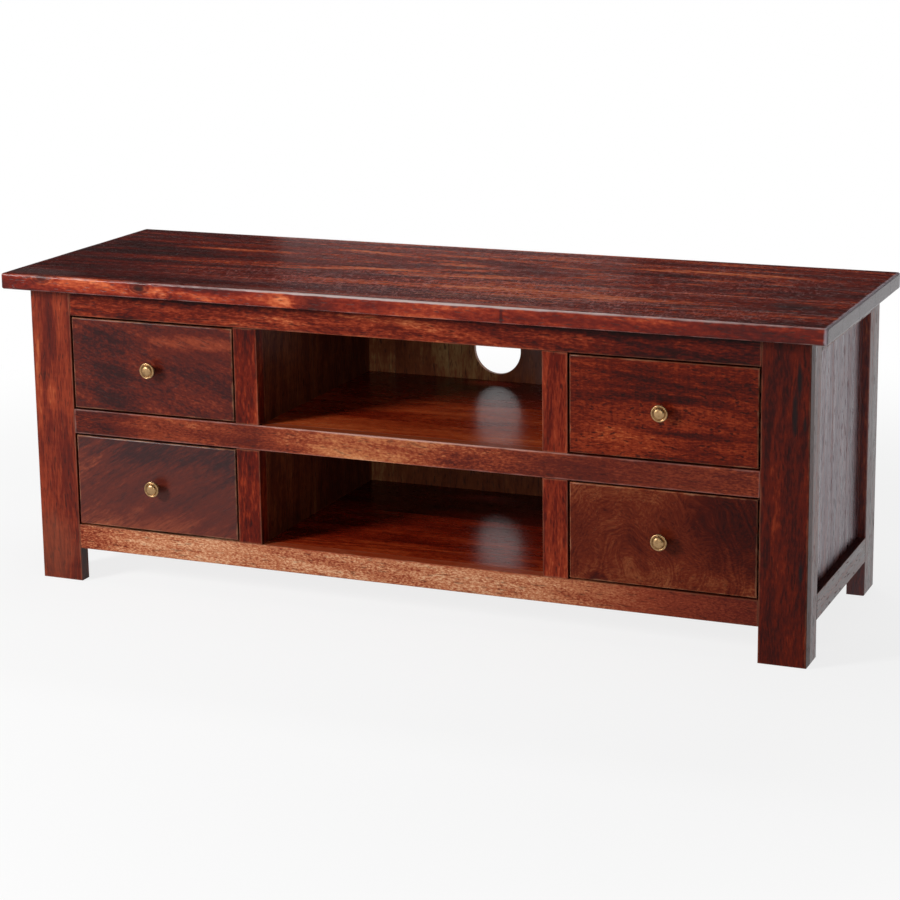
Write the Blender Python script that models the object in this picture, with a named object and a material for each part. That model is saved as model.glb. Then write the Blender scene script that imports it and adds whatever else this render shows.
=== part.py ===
# Low television cabinet in solid hardwood: a jointed carcass, two open niches and four drawers.
# The origin lies on the floor under the middle of the top. X is the width, Y runs to the back, Z is up.

import bmesh
import bpy
from math import cos, pi, sin

# Top board
TOP_LENGTH = 1.300
TOP_DEPTH = 0.450
TOP_THICKNESS = 0.025
TOP_SIDE_OVERHANG = 0.030
TOP_FRONT_OVERHANG = 0.035
TOP_BACK_OVERHANG = 0.002
TOP_CORNER_RADIUS = 0.005
TOP_ARRIS_RADIUS = 0.003

# Heights of the carcass
HEIGHT = 0.495
FOOT_HEIGHT = 0.054
RAIL_HEIGHT = 0.039
TOP_RAIL_HEIGHT = 0.042

# Face frame
FACE_THICKNESS = 0.022
STILE_WIDTH = 0.070
MUNTIN_WIDTH = 0.039
NICHE_WIDTH = 0.456
FACE_TENON_THICKNESS = 0.008
RAIL_TENON_LENGTH = 0.025
MUNTIN_TENON_LENGTH = 0.010
TENON_SHOULDER = 0.008
ARRIS = 0.0012

# Side frames
LEG_THICKNESS = 0.028
FRONT_LEG_DEPTH = 0.036
BACK_LEG_DEPTH = 0.060
SIDE_TOP_RAIL_HEIGHT = 0.028
SIDE_TENON_THICKNESS = 0.009
SIDE_TENON_LENGTH = 0.020
SIDE_TENON_WALL = 0.004
FOOT_ARRIS = 0.002

# Side panels
PANEL_RECESS = 0.012
PANEL_THICKNESS = 0.012
PANEL_TONGUE_THICKNESS = 0.007
PANEL_TONGUE_LENGTH = 0.008

# Boards inside the carcass
PARTITION_THICKNESS = 0.018
SHELF_THICKNESS = 0.018
SHELF_HOUSING = 0.006
BOTTOM_THICKNESS = 0.015
BOTTOM_HOUSING = 0.005

# Back
BACK_PANEL_THICKNESS = 0.008
BACK_PANEL_INSET = 0.002
BACK_PANEL_LAP = 0.008
BACK_RAIL_THICKNESS = 0.020
BACK_TENON_THICKNESS = 0.010
BACK_TENON_LENGTH = 0.018
CABLE_HOLE_DIAMETER = 0.080
CABLE_HOLE_RISE = 0.051

# Runners, guides and kickers
RUNNER_LEDGE = 0.014
GUIDE_HEIGHT = 0.020
GUIDE_PLAY = 0.001
KICKER_WIDTH = 0.030
KICKER_HEIGHT = 0.018

# Drawers
DRAWER_GAP = 0.002
DRAWER_REAR_SPACE = 0.018
DRAWER_FRONT_THICKNESS = 0.020
DRAWER_FRONT_ARRIS = 0.0022
DRAWER_SIDE_THICKNESS = 0.012
DRAWER_SIDE_HEADROOM = 0.005
DRAWER_BACK_THICKNESS = 0.012
DRAWER_BACK_HEADROOM = 0.010
DRAWER_BOTTOM_THICKNESS = 0.005
DRAWER_BOTTOM_RISE = 0.012
DRAWER_BOTTOM_GROOVE = 0.006

# Dovetails of the drawers
TAIL_COUNT = 4
TAIL_LAP = 0.006
TAIL_MARGIN = 0.004
TAIL_TIP_SHARE = 0.70
TAIL_SLOPE_SHARE = 0.14

# Knobs
KNOB_DIAMETER = 0.025
KNOB_RIM_DEPTH = 0.004
KNOB_GROOVE_DIAMETER = 0.0185
KNOB_GROOVE_DEPTH = 0.0012
KNOB_DOME_DIAMETER = 0.016
KNOB_DOME_HEIGHT = 0.004
KNOB_NECK_DIAMETER = 0.010
KNOB_NECK_LENGTH = 0.010
KNOB_FOOT_DIAMETER = 0.016
KNOB_FOOT_DEPTH = 0.003
KNOB_SPIGOT_DIAMETER = 0.006
KNOB_SPIGOT_LENGTH = 0.012

# Clearances, and the length by which a cut runs past what it cuts
FIT = 0.0003
OVERRUN = 0.010

KNOB_SIDES = 28
HOLE_SIDES = 48
DOME_STEPS = 4

# Planes that several pieces share
FRONT = -TOP_DEPTH / 2 + TOP_FRONT_OVERHANG
FRAME_BACK = FRONT + FACE_THICKNESS
BACK = TOP_DEPTH / 2 - TOP_BACK_OVERHANG
PANEL_FACE = BACK - BACK_PANEL_INSET - BACK_PANEL_THICKNESS
SIDE = TOP_LENGTH / 2 - TOP_SIDE_OVERHANG
SIDE_INNER = SIDE - LEG_THICKNESS
STILE_INNER = SIDE - STILE_WIDTH
NICHE_EDGE = NICHE_WIDTH / 2
MUNTIN_EDGE = NICHE_EDGE + MUNTIN_WIDTH
PARTITION_EDGE = NICHE_EDGE + PARTITION_THICKNESS
CARCASS_TOP = HEIGHT - TOP_THICKNESS
TOP_RAIL_LOW = CARCASS_TOP - TOP_RAIL_HEIGHT
OPENING_HEIGHT = (TOP_RAIL_LOW - FOOT_HEIGHT - 2 * RAIL_HEIGHT) / 2
LOWER_FLOOR = FOOT_HEIGHT + RAIL_HEIGHT
LOWER_HEAD = LOWER_FLOOR + OPENING_HEIGHT
UPPER_FLOOR = LOWER_HEAD + RAIL_HEIGHT
FRONT_LEG_BACK = FRAME_BACK + FRONT_LEG_DEPTH
BACK_LEG_FRONT = BACK - BACK_LEG_DEPTH
DRAWER_WIDTH = STILE_INNER - MUNTIN_EDGE - 2 * DRAWER_GAP
DRAWER_CENTRE = (STILE_INNER + MUNTIN_EDGE) / 2
DRAWER_LENGTH = PANEL_FACE - FRONT - DRAWER_REAR_SPACE

X, Y, Z = range(3)


def clear_scene():
    for obj in list(bpy.data.objects):
        bpy.data.objects.remove(obj, do_unlink=True)


def finish(name, colour, roughness, metallic=0.0):
    material = bpy.data.materials.new(name)
    material.use_nodes = True
    shader = material.node_tree.nodes["Principled BSDF"]
    shader.inputs["Base Color"].default_value = (*colour, 1.0)
    shader.inputs["Roughness"].default_value = roughness
    shader.inputs["Metallic"].default_value = metallic
    return material


def holder(name, location=(0, 0, 0)):
    """An empty that carries the pieces of one body."""
    empty = bpy.data.objects.new(name, None)
    empty.location = location
    bpy.context.scene.collection.objects.link(empty)
    return empty


def placed(name, bm, centre, parent):
    """An object of the bmesh, which is modelled about the given centre."""
    bmesh.ops.recalc_face_normals(bm, faces=bm.faces)
    mesh = bpy.data.meshes.new(name)
    bm.to_mesh(mesh)
    bm.free()
    obj = bpy.data.objects.new(name, mesh)
    obj.location = centre
    obj.parent = parent
    bpy.context.scene.collection.objects.link(obj)
    return obj


def block_mesh(low, high):
    """A closed box of the given corners, as a bmesh about its own centre, with that centre."""
    size = [b - a for a, b in zip(low, high)]
    centre = [(a + b) / 2 for a, b in zip(low, high)]
    bm = bmesh.new()
    bmesh.ops.create_cube(bm, size=1)
    bmesh.ops.scale(bm, vec=size, verts=bm.verts)
    return bm, centre


def arrises(bm, along, beside):
    """The edges that run along one axis, on the side given for each axis in beside."""
    chosen = []
    for edge in bm.edges:
        a, b = (v.co for v in edge.verts)
        runs = all(abs(a[k] - b[k]) < FIT for k in (X, Y, Z) if k != along)
        if runs and all(a[k] * side > 0 and b[k] * side > 0 for k, side in beside.items()):
            chosen.append(edge)
    return chosen


def board(name, low, high, parent, material, eased=(), width=ARRIS, segments=1):
    """A board whose chosen arrises are eased. Each entry of eased is (axis, sides)."""
    bm, centre = block_mesh(low, high)
    edges = [edge for along, beside in eased for edge in arrises(bm, along, beside)]
    if edges:
        bmesh.ops.bevel(bm, geom=edges, offset=width, segments=segments, affect="EDGES")
    obj = placed(name, bm, centre, parent)
    obj.data.materials.append(material)
    return obj


def prism_mesh(outline, along, start, end):
    """An outline in the two other axes, extruded along one axis from start to end."""
    bm = bmesh.new()
    verts = []
    for point in outline:
        co = list(point)
        co.insert(along, start)
        verts.append(bm.verts.new(co))
    face = bm.faces.new(verts)
    sides = bmesh.ops.extrude_face_region(bm, geom=[face])["geom"]
    step = [0, 0, 0]
    step[along] = end - start
    bmesh.ops.translate(bm, vec=step, verts=[g for g in sides if isinstance(g, bmesh.types.BMVert)])
    return bm


def merge_into(target, source):
    """Adds the source bmesh to the target as a separate island."""
    piece = bpy.data.meshes.new("island")
    source.to_mesh(piece)
    source.free()
    target.from_mesh(piece)
    bpy.data.meshes.remove(piece)


def as_tool(name, bm, parent, centre=(0, 0, 0)):
    """A hidden object that cuts or adds to another."""
    tool = placed(name, bm, centre, parent)
    tool.hide_render = True
    tool.display_type = "WIRE"
    return tool


def combine(obj, tool, operation):
    modifier = obj.modifiers.new(tool.name, "BOOLEAN")
    modifier.operation = operation
    modifier.solver = "EXACT"
    modifier.object = tool


def cut(obj, low, high):
    """Takes the box between two corners out of an object."""
    bm, centre = block_mesh(low, high)
    combine(obj, as_tool(obj.name + "_cut", bm, obj.parent, centre), "DIFFERENCE")


def add_core(obj, core):
    """Lets a box that runs through a rail stand out of its ends as tenons."""
    bm, centre = block_mesh(*core)
    combine(obj, as_tool(obj.name + "_core", bm, obj.parent, centre), "UNION")


def grown(low, high, by=FIT):
    return [a - by for a in low], [b + by for b in high]


def mortise(objects, core):
    """Cuts the sockets of a rail's tenons, with their clearance, into the pieces that it joins."""
    for obj in objects:
        cut(obj, *grown(*core))


def face_frame(carcass, wood):
    """Two stiles down to the floor, three rails between them and four muntins between the rails."""
    front_arris = [(Z, {Y: -1}), (X, {Y: -1, Z: -1})]
    stiles = []
    for side, word in ((-1, "left"), (1, "right")):
        near, far = sorted((side * STILE_INNER, side * SIDE))
        low, high = (near, FRONT, 0), (far, FRAME_BACK - FIT, CARCASS_TOP - FIT)
        stiles.append(board("face_stile_" + word, low, high, carcass, wood, front_arris, FOOT_ARRIS, 2))

    tenon_front = FRONT + (FACE_THICKNESS - FACE_TENON_THICKNESS) / 2
    tenon_back = tenon_front + FACE_TENON_THICKNESS
    rails = {}
    reach = STILE_INNER + RAIL_TENON_LENGTH
    for word, low, high in (("bottom", FOOT_HEIGHT, LOWER_FLOOR),
                            ("middle", LOWER_HEAD, UPPER_FLOOR),
                            ("top", TOP_RAIL_LOW, CARCASS_TOP - FIT)):
        rail = board("face_rail_" + word, (FIT - STILE_INNER, FRONT, low),
                     (STILE_INNER - FIT, FRAME_BACK, high), carcass, wood, [(X, {Y: -1})])
        core = ((-reach, tenon_front, low + TENON_SHOULDER), (reach, tenon_back, high - TENON_SHOULDER))
        add_core(rail, core)
        mortise(stiles, core)
        rails[word] = rail

    for word, low, high, below, above in (("lower", LOWER_FLOOR, LOWER_HEAD, "bottom", "middle"),
                                          ("upper", UPPER_FLOOR, TOP_RAIL_LOW, "middle", "top")):
        for side, hand in ((-1, "left"), (1, "right")):
            near, far = sorted((side * NICHE_EDGE, side * MUNTIN_EDGE))
            muntin = board(f"muntin_{word}_{hand}", (near, FRONT, low + FIT), (far, FRAME_BACK, high - FIT),
                           carcass, wood, [(Z, {Y: -1})])
            core = ((near + TENON_SHOULDER, tenon_front, low - MUNTIN_TENON_LENGTH),
                    (far - TENON_SHOULDER, tenon_back, high + MUNTIN_TENON_LENGTH))
            add_core(muntin, core)
            mortise((rails[below], rails[above]), core)
    return rails


def side_frame(side, word, carcass, wood, panel_wood):
    """Front and back legs, two cross rails between them and a panel in their grooves. Gives the back leg."""
    near, far = sorted((side * SIDE_INNER, side * SIDE))
    front_leg = board("front_leg_" + word, (near, FRAME_BACK, 0), (far, FRONT_LEG_BACK, CARCASS_TOP - FIT),
                      carcass, wood, [(Z, {Y: 1}), (X, {Y: 1, Z: -1})], FOOT_ARRIS, 2)
    back_leg = board("back_leg_" + word, (near, BACK_LEG_FRONT, 0), (far, BACK, CARCASS_TOP - FIT),
                     carcass, wood, [(Z, {X: side}), (Y, {X: side, Z: -1})], FOOT_ARRIS, 2)

    rail_front = FRONT_LEG_BACK + FIT
    rail_back = BACK_LEG_FRONT - FIT
    tenon_out = side * (SIDE - (LEG_THICKNESS - SIDE_TENON_THICKNESS) / 2)
    tenon_in = tenon_out - side * SIDE_TENON_THICKNESS
    tenon_near, tenon_far = sorted((tenon_in, tenon_out))
    panel_low = LOWER_FLOOR - PANEL_TONGUE_LENGTH
    panel_high = CARCASS_TOP - SIDE_TOP_RAIL_HEIGHT + PANEL_TONGUE_LENGTH

    bottom_rail = board("side_rail_bottom_" + word, (near, rail_front, FOOT_HEIGHT),
                        (far, rail_back, LOWER_FLOOR), carcass, wood, [(Y, {X: side})])
    top_rail = board("side_rail_top_" + word, (near, rail_front, CARCASS_TOP - SIDE_TOP_RAIL_HEIGHT),
                     (far, rail_back, CARCASS_TOP - FIT), carcass, wood, [(Y, {X: side, Z: -1})])
    for rail, low, high in ((bottom_rail, FOOT_HEIGHT + SIDE_TENON_WALL, panel_low - SIDE_TENON_WALL),
                            (top_rail, panel_high + SIDE_TENON_WALL, CARCASS_TOP - SIDE_TENON_WALL)):
        core = ((tenon_near, FRONT_LEG_BACK - SIDE_TENON_LENGTH, low),
                (tenon_far, BACK_LEG_FRONT + SIDE_TENON_LENGTH, high))
        add_core(rail, core)
        mortise((front_leg, back_leg), core)

    side_panel(side, word, panel_low, panel_high, carcass, panel_wood)
    tongue_out = side * (SIDE - PANEL_RECESS)
    tongue_near, tongue_far = sorted((tongue_out, tongue_out - side * PANEL_TONGUE_THICKNESS))
    tongue = ((tongue_near, FRONT_LEG_BACK - PANEL_TONGUE_LENGTH, panel_low),
              (tongue_far, BACK_LEG_FRONT + PANEL_TONGUE_LENGTH, panel_high))
    for obj in (front_leg, back_leg, bottom_rail, top_rail):
        cut(obj, *grown(*tongue))

    # The bottom board's end rests in a rebate along the rail's inner top edge.
    cut_near, cut_far = sorted((side * (SIDE_INNER - OVERRUN), side * (SIDE_INNER + BOTTOM_HOUSING + FIT)))
    cut(bottom_rail, (cut_near, FRONT_LEG_BACK - OVERRUN, LOWER_FLOOR - BOTTOM_THICKNESS - FIT),
        (cut_far, BACK_LEG_FRONT + OVERRUN, LOWER_FLOOR + OVERRUN))
    return back_leg


def side_panel(side, word, low, high, carcass, wood):
    """A thin tongue all round. The middle of the inner face is inset and drawn in to the full thickness."""
    y_low = FRONT_LEG_BACK - PANEL_TONGUE_LENGTH
    y_high = BACK_LEG_FRONT + PANEL_TONGUE_LENGTH
    outer = side * (SIDE - PANEL_RECESS)
    inner = outer - side * PANEL_TONGUE_THICKNESS
    near, far = sorted((inner, outer))
    bm, centre = block_mesh((near, y_low, low), (far, y_high, high))
    bm.faces.ensure_lookup_table()
    inner_face = min(bm.faces, key=lambda face: side * face.calc_center_median().x)
    bmesh.ops.inset_region(bm, faces=[inner_face], thickness=PANEL_TONGUE_LENGTH + FIT, use_even_offset=True)
    step = -side * (PANEL_THICKNESS - PANEL_TONGUE_THICKNESS)
    field = bmesh.ops.extrude_face_region(bm, geom=[inner_face])["geom"]
    bmesh.ops.translate(bm, vec=(step, 0, 0), verts=[g for g in field if isinstance(g, bmesh.types.BMVert)])
    bmesh.ops.delete(bm, geom=[inner_face], context="FACES_ONLY")
    panel = placed("side_panel_" + word, bm, centre, carcass)
    panel.data.materials.append(wood)


def inside_boards(carcass, rails, wood):
    """Bottom board, niche shelf and the two partitions with their housings."""
    shelf_box = ((-NICHE_EDGE - SHELF_HOUSING, FRAME_BACK - SHELF_HOUSING, UPPER_FLOOR - SHELF_THICKNESS),
                 (NICHE_EDGE + SHELF_HOUSING, PANEL_FACE - FIT, UPPER_FLOOR))
    board("niche_shelf", *shelf_box, carcass, wood)
    cut(rails["middle"], *grown(*shelf_box))

    bottom_board(carcass, wood)
    cut(rails["bottom"],
        (-STILE_INNER - OVERRUN, FRAME_BACK - SHELF_HOUSING - FIT, LOWER_FLOOR - BOTTOM_THICKNESS - FIT),
        (STILE_INNER + OVERRUN, FRAME_BACK + OVERRUN, LOWER_FLOOR + OVERRUN))

    partitions = []
    for side, word in ((-1, "left"), (1, "right")):
        near, far = sorted((side * NICHE_EDGE, side * PARTITION_EDGE))
        partition = board("partition_" + word, (near, FRAME_BACK + FIT, LOWER_FLOOR + FIT),
                          (far, PANEL_FACE - FIT, CARCASS_TOP - FIT), carcass, wood)
        cut(partition, *grown(*shelf_box))
        partitions.append(partition)
    return partitions


def bottom_board(carcass, wood):
    """A board notched round the legs. Its ends rest in the side rails, its front edge in the bottom rail."""
    right = [(STILE_INNER - FIT, FRAME_BACK - SHELF_HOUSING),
             (STILE_INNER - FIT, FRAME_BACK + FIT),
             (SIDE_INNER - FIT, FRAME_BACK + FIT),
             (SIDE_INNER - FIT, FRONT_LEG_BACK + 2 * FIT),
             (SIDE_INNER + BOTTOM_HOUSING, FRONT_LEG_BACK + 2 * FIT),
             (SIDE_INNER + BOTTOM_HOUSING, BACK_LEG_FRONT - 2 * FIT),
             (SIDE_INNER - FIT, BACK_LEG_FRONT - 2 * FIT),
             (SIDE_INNER - FIT, PANEL_FACE - FIT)]
    left = [(-x, y) for x, y in reversed(right)]
    middle_y = (FRAME_BACK + PANEL_FACE) / 2
    outline = [(x, y - middle_y) for x, y in right + left]
    bm = prism_mesh(outline, Z, -BOTTOM_THICKNESS / 2, BOTTOM_THICKNESS / 2)
    obj = placed("bottom_board", bm, (0, middle_y, LOWER_FLOOR - BOTTOM_THICKNESS / 2), carcass)
    obj.data.materials.append(wood)


def back(carcass, legs, partitions, wood, frame_wood):
    """A panel in the back legs' rebates, with two round cable holes, and the rail that it is fixed to."""
    rail_front = PANEL_FACE - BACK_RAIL_THICKNESS
    rail_box = ((FIT - SIDE_INNER, rail_front, TOP_RAIL_LOW),
                (SIDE_INNER - FIT, PANEL_FACE - FIT, CARCASS_TOP - FIT))
    rail = board("back_rail", *rail_box, carcass, frame_wood, [(X, {Y: -1, Z: -1})])
    tenon_front = rail_front + (BACK_RAIL_THICKNESS - BACK_TENON_THICKNESS) / 2
    reach = SIDE_INNER + BACK_TENON_LENGTH
    core = ((-reach, tenon_front, TOP_RAIL_LOW + TENON_SHOULDER),
            (reach, tenon_front + BACK_TENON_THICKNESS, CARCASS_TOP - TENON_SHOULDER))
    add_core(rail, core)
    mortise(legs, core)
    for partition in partitions:
        cut(partition, (-SIDE, rail_front - FIT, TOP_RAIL_LOW - FIT),
            (SIDE, PANEL_FACE + OVERRUN, CARCASS_TOP + OVERRUN))

    edge = SIDE_INNER + BACK_PANEL_LAP
    panel = board("back_panel", (-edge, PANEL_FACE, FOOT_HEIGHT),
                  (edge, PANEL_FACE + BACK_PANEL_THICKNESS, CARCASS_TOP - FIT), carcass, wood)
    for leg in legs:
        cut(leg, (-edge - FIT, PANEL_FACE - FIT, FOOT_HEIGHT - FIT),
            (edge + FIT, BACK + OVERRUN, CARCASS_TOP + OVERRUN))
    for word, height in (("upper", UPPER_FLOOR + CABLE_HOLE_RISE), ("lower", LOWER_HEAD - CABLE_HOLE_RISE)):
        hole = round_tool("cable_hole_" + word, (0, PANEL_FACE, height), CABLE_HOLE_DIAMETER,
                          BACK_PANEL_THICKNESS + OVERRUN, HOLE_SIDES, carcass)
        combine(panel, hole, "DIFFERENCE")


def round_tool(name, centre, diameter, reach, sides, parent):
    """A cylinder along Y that reaches as far to the front as to the back of its centre."""
    turns = [2 * pi * k / sides for k in range(sides)]
    outline = [(cos(turn) * diameter / 2, sin(turn) * diameter / 2) for turn in turns]
    return as_tool(name, prism_mesh(outline, Y, -reach, reach), parent, centre)


def drawer_ways(carcass, wood):
    """Runners under the upper drawers, guides beside the lower ones, and a kicker over each upper drawer."""
    outer_guide = STILE_INNER - DRAWER_GAP + GUIDE_PLAY
    inner_guide = MUNTIN_EDGE + DRAWER_GAP - GUIDE_PLAY
    stop = FRONT + DRAWER_LENGTH + FIT
    for side, hand in ((-1, "left"), (1, "right")):
        ways = (("outer", SIDE_INNER - FIT, outer_guide, outer_guide - RUNNER_LEDGE),
                ("inner", PARTITION_EDGE + FIT, inner_guide, inner_guide + RUNNER_LEDGE))
        for place, wall, guide, ledge in ways:
            near, far = sorted((side * wall, side * ledge))
            beyond = side * (2 * ledge - guide)
            way_near, way_far = sorted((side * guide, beyond))
            kinds = (("runner", LOWER_HEAD, UPPER_FLOOR), ("guide", LOWER_FLOOR + FIT, LOWER_FLOOR))
            for kind, base, floor in kinds:
                way = board(f"{kind}_{place}_{hand}", (near, FRAME_BACK + FIT, base),
                            (far, PANEL_FACE - FIT, floor + GUIDE_HEIGHT), carcass, wood)
                way_low = floor if base < floor else floor - OVERRUN
                cut(way, (way_near, FRAME_BACK - OVERRUN, way_low),
                    (way_far, stop, floor + GUIDE_HEIGHT + OVERRUN))
        centre = side * DRAWER_CENTRE
        kicker_back = PANEL_FACE - BACK_RAIL_THICKNESS - FIT
        board("kicker_" + hand, (centre - KICKER_WIDTH / 2, FRAME_BACK + FIT, TOP_RAIL_LOW),
              (centre + KICKER_WIDTH / 2, kicker_back, TOP_RAIL_LOW + KICKER_HEIGHT), carcass, wood)


def top_board(carcass, wood):
    """A slab with rounded corners and softened arrises."""
    far = (TOP_LENGTH / 2, TOP_DEPTH / 2, HEIGHT)
    bm, centre = block_mesh((-TOP_LENGTH / 2, -TOP_DEPTH / 2, CARCASS_TOP), far)
    bmesh.ops.bevel(bm, geom=arrises(bm, Z, {}), offset=TOP_CORNER_RADIUS, segments=3, affect="EDGES")
    obj = placed("top_board", bm, centre, carcass)
    obj.data.materials.append(wood)
    ease = obj.modifiers.new("arris", "BEVEL")
    ease.width = TOP_ARRIS_RADIUS
    ease.segments = 2
    ease.limit_method = "ANGLE"
    ease.angle_limit = pi / 3


def tail_spans(low, high):
    """Centre and half width at the tip of each dovetail between two heights."""
    pitch = (high - low) / TAIL_COUNT
    for k in range(TAIL_COUNT):
        yield low + pitch * (2 * k + 1) / 2, pitch * TAIL_TIP_SHARE / 2


def drawer_side(name, side, width, height, joint, parent, wood):
    """An outline with dovetails at both ends, extruded to the board's thickness."""
    root_front = DRAWER_FRONT_THICKNESS + FIT
    tip_front = TAIL_LAP + FIT
    root_back = DRAWER_LENGTH - DRAWER_BACK_THICKNESS - FIT
    tip_back = DRAWER_LENGTH
    front_edge = [(root_front, FIT)]
    back_edge = [(root_back, FIT)]
    for edge, root, tip in ((front_edge, root_front, tip_front), (back_edge, root_back, tip_back)):
        slope = TAIL_SLOPE_SHARE * abs(tip - root)
        for centre, half in tail_spans(*joint):
            edge += [(root, centre - half + slope), (tip, centre - half),
                     (tip, centre + half), (root, centre + half - slope)]
    front_edge.append((root_front, height))
    back_edge.append((root_back, height))
    outline = front_edge + back_edge[::-1]
    outer = side * width / 2
    inner = outer - side * DRAWER_SIDE_THICKNESS
    middle = (outer + inner) / 2
    centred = [(y - DRAWER_LENGTH / 2, z - height / 2) for y, z in outline]
    bm = prism_mesh(centred, X, inner - middle, outer - middle)
    obj = placed(name, bm, (middle, DRAWER_LENGTH / 2, height / 2), parent)
    obj.data.materials.append(wood)
    return obj


def tail_sockets(name, width, root, tip, through, joint, parent):
    """The sockets of both sides' dovetails, with their clearance, as one cutter.

    It runs on past the root, and past the tip too where the joint is through.
    """
    toward = 1 if tip > root else -1
    run_root = root - toward * OVERRUN
    run_tip = tip + toward * (OVERRUN if through else FIT)
    cutter = bmesh.new()
    for side in (-1, 1):
        inner = side * (width / 2 - DRAWER_SIDE_THICKNESS - FIT)
        outer = side * (width / 2 + OVERRUN)
        for centre, half in tail_spans(*joint):
            wide = half + FIT
            narrow = wide - TAIL_SLOPE_SHARE * abs(tip - root)
            below = [(run_root, centre - narrow), (root, centre - narrow),
                     (tip, centre - wide), (run_tip, centre - wide)]
            outline = below + [(y, 2 * centre - z) for y, z in reversed(below)]
            merge_into(cutter, prism_mesh(outline, X, inner, outer))
    return as_tool(name, cutter, parent)


def knob_profile():
    """The knob's outer line from its middle to its spigot, as (radius, distance in front of the drawer)."""
    rim = KNOB_FOOT_DEPTH + KNOB_NECK_LENGTH
    face = rim + KNOB_RIM_DEPTH
    falls = [pi / 2 * k / DOME_STEPS for k in range(DOME_STEPS + 1)]
    dome = [(KNOB_DOME_DIAMETER / 2 * sin(fall), face - KNOB_GROOVE_DEPTH + KNOB_DOME_HEIGHT * cos(fall))
            for fall in falls]
    softening = KNOB_RIM_DEPTH / 4
    return dome + [(KNOB_GROOVE_DIAMETER / 2, face - KNOB_GROOVE_DEPTH),
                   ((KNOB_GROOVE_DIAMETER + KNOB_DIAMETER) / 4, face),
                   (KNOB_DIAMETER / 2 - softening, face - softening / 2),
                   (KNOB_DIAMETER / 2, face - 2 * softening),
                   (KNOB_DIAMETER / 2 - softening, rim + softening / 2),
                   (KNOB_NECK_DIAMETER / 2 + softening, rim),
                   (KNOB_NECK_DIAMETER / 2, rim - KNOB_NECK_LENGTH / 3),
                   (KNOB_NECK_DIAMETER / 2, KNOB_FOOT_DEPTH + KNOB_NECK_LENGTH / 4),
                   (KNOB_FOOT_DIAMETER / 2, KNOB_FOOT_DEPTH / 2),
                   (KNOB_FOOT_DIAMETER / 2, FIT),
                   (KNOB_SPIGOT_DIAMETER / 2, FIT),
                   (KNOB_SPIGOT_DIAMETER / 2, -KNOB_SPIGOT_LENGTH),
                   (0, -KNOB_SPIGOT_LENGTH)]


def knob(name, height, parent, metal):
    """A turned knob: a domed button in a ringed head, a waisted neck, a foot, and a spigot in the front."""
    bm = bmesh.new()
    line = [bm.verts.new((radius, -distance, 0)) for radius, distance in knob_profile()]
    edges = [bm.edges.new(pair) for pair in zip(line, line[1:])]
    bmesh.ops.spin(bm, geom=line + edges, cent=(0, 0, 0), axis=(0, 1, 0), angle=2 * pi, steps=KNOB_SIDES)
    bmesh.ops.remove_doubles(bm, verts=bm.verts, dist=FIT / 10)
    obj = placed(name, bm, (0, 0, height), parent)
    obj.data.materials.append(metal)
    obj.data.shade_smooth()
    obj.data.set_sharp_from_angle(angle=pi / 5)
    return obj


def drawer(word, centre, floor, finishes):
    """A box of dovetailed boards behind an inset front, placed by the foot of its front face."""
    body = holder("drawer_" + word, (centre, FRONT, floor))
    name = f"drawer_{word}_"
    width = DRAWER_WIDTH
    half = width / 2
    front_low, front_high = DRAWER_GAP, OPENING_HEIGHT - DRAWER_GAP
    side_high = OPENING_HEIGHT - DRAWER_SIDE_HEADROOM
    bottom_top = DRAWER_BOTTOM_RISE + DRAWER_BOTTOM_THICKNESS
    back_high = OPENING_HEIGHT - DRAWER_BACK_HEADROOM
    joint = (bottom_top + TAIL_MARGIN, back_high - TAIL_MARGIN)

    front = board(name + "front", (-half, 0, front_low), (half, DRAWER_FRONT_THICKNESS, front_high), body,
                  finishes["front"], [(X, {Y: -1}), (Z, {Y: -1})], DRAWER_FRONT_ARRIS, 2)
    half_blind = tail_sockets(name + "front_sockets", width, DRAWER_FRONT_THICKNESS + FIT, TAIL_LAP + FIT,
                              False, joint, body)
    combine(front, half_blind, "DIFFERENCE")
    middle = (front_low + front_high) / 2
    knob_hole = round_tool(name + "knob_hole", (0, 0, middle), KNOB_SPIGOT_DIAMETER + 2 * FIT,
                           KNOB_SPIGOT_LENGTH + FIT, KNOB_SIDES, body)
    combine(front, knob_hole, "DIFFERENCE")

    back_front = DRAWER_LENGTH - DRAWER_BACK_THICKNESS
    back_board = board(name + "back", (-half, back_front, bottom_top + FIT), (half, DRAWER_LENGTH, back_high),
                       body, finishes["box"])
    through = tail_sockets(name + "back_sockets", width, back_front - FIT, DRAWER_LENGTH, True, joint, body)
    combine(back_board, through, "DIFFERENCE")

    reach = half - DRAWER_SIDE_THICKNESS + DRAWER_BOTTOM_GROOVE
    bottom_box = ((-reach, DRAWER_FRONT_THICKNESS - DRAWER_BOTTOM_GROOVE, DRAWER_BOTTOM_RISE),
                  (reach, DRAWER_LENGTH, bottom_top))
    board(name + "bottom", *bottom_box, body, finishes["bottom"])
    cut(front, *grown(*bottom_box))
    for side, hand in ((-1, "left"), (1, "right")):
        side_board = drawer_side(name + "side_" + hand, side, width, side_high, joint, body, finishes["box"])
        cut(side_board, *grown(*bottom_box))

    knob(name + "knob", middle, body, finishes["brass"])


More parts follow.
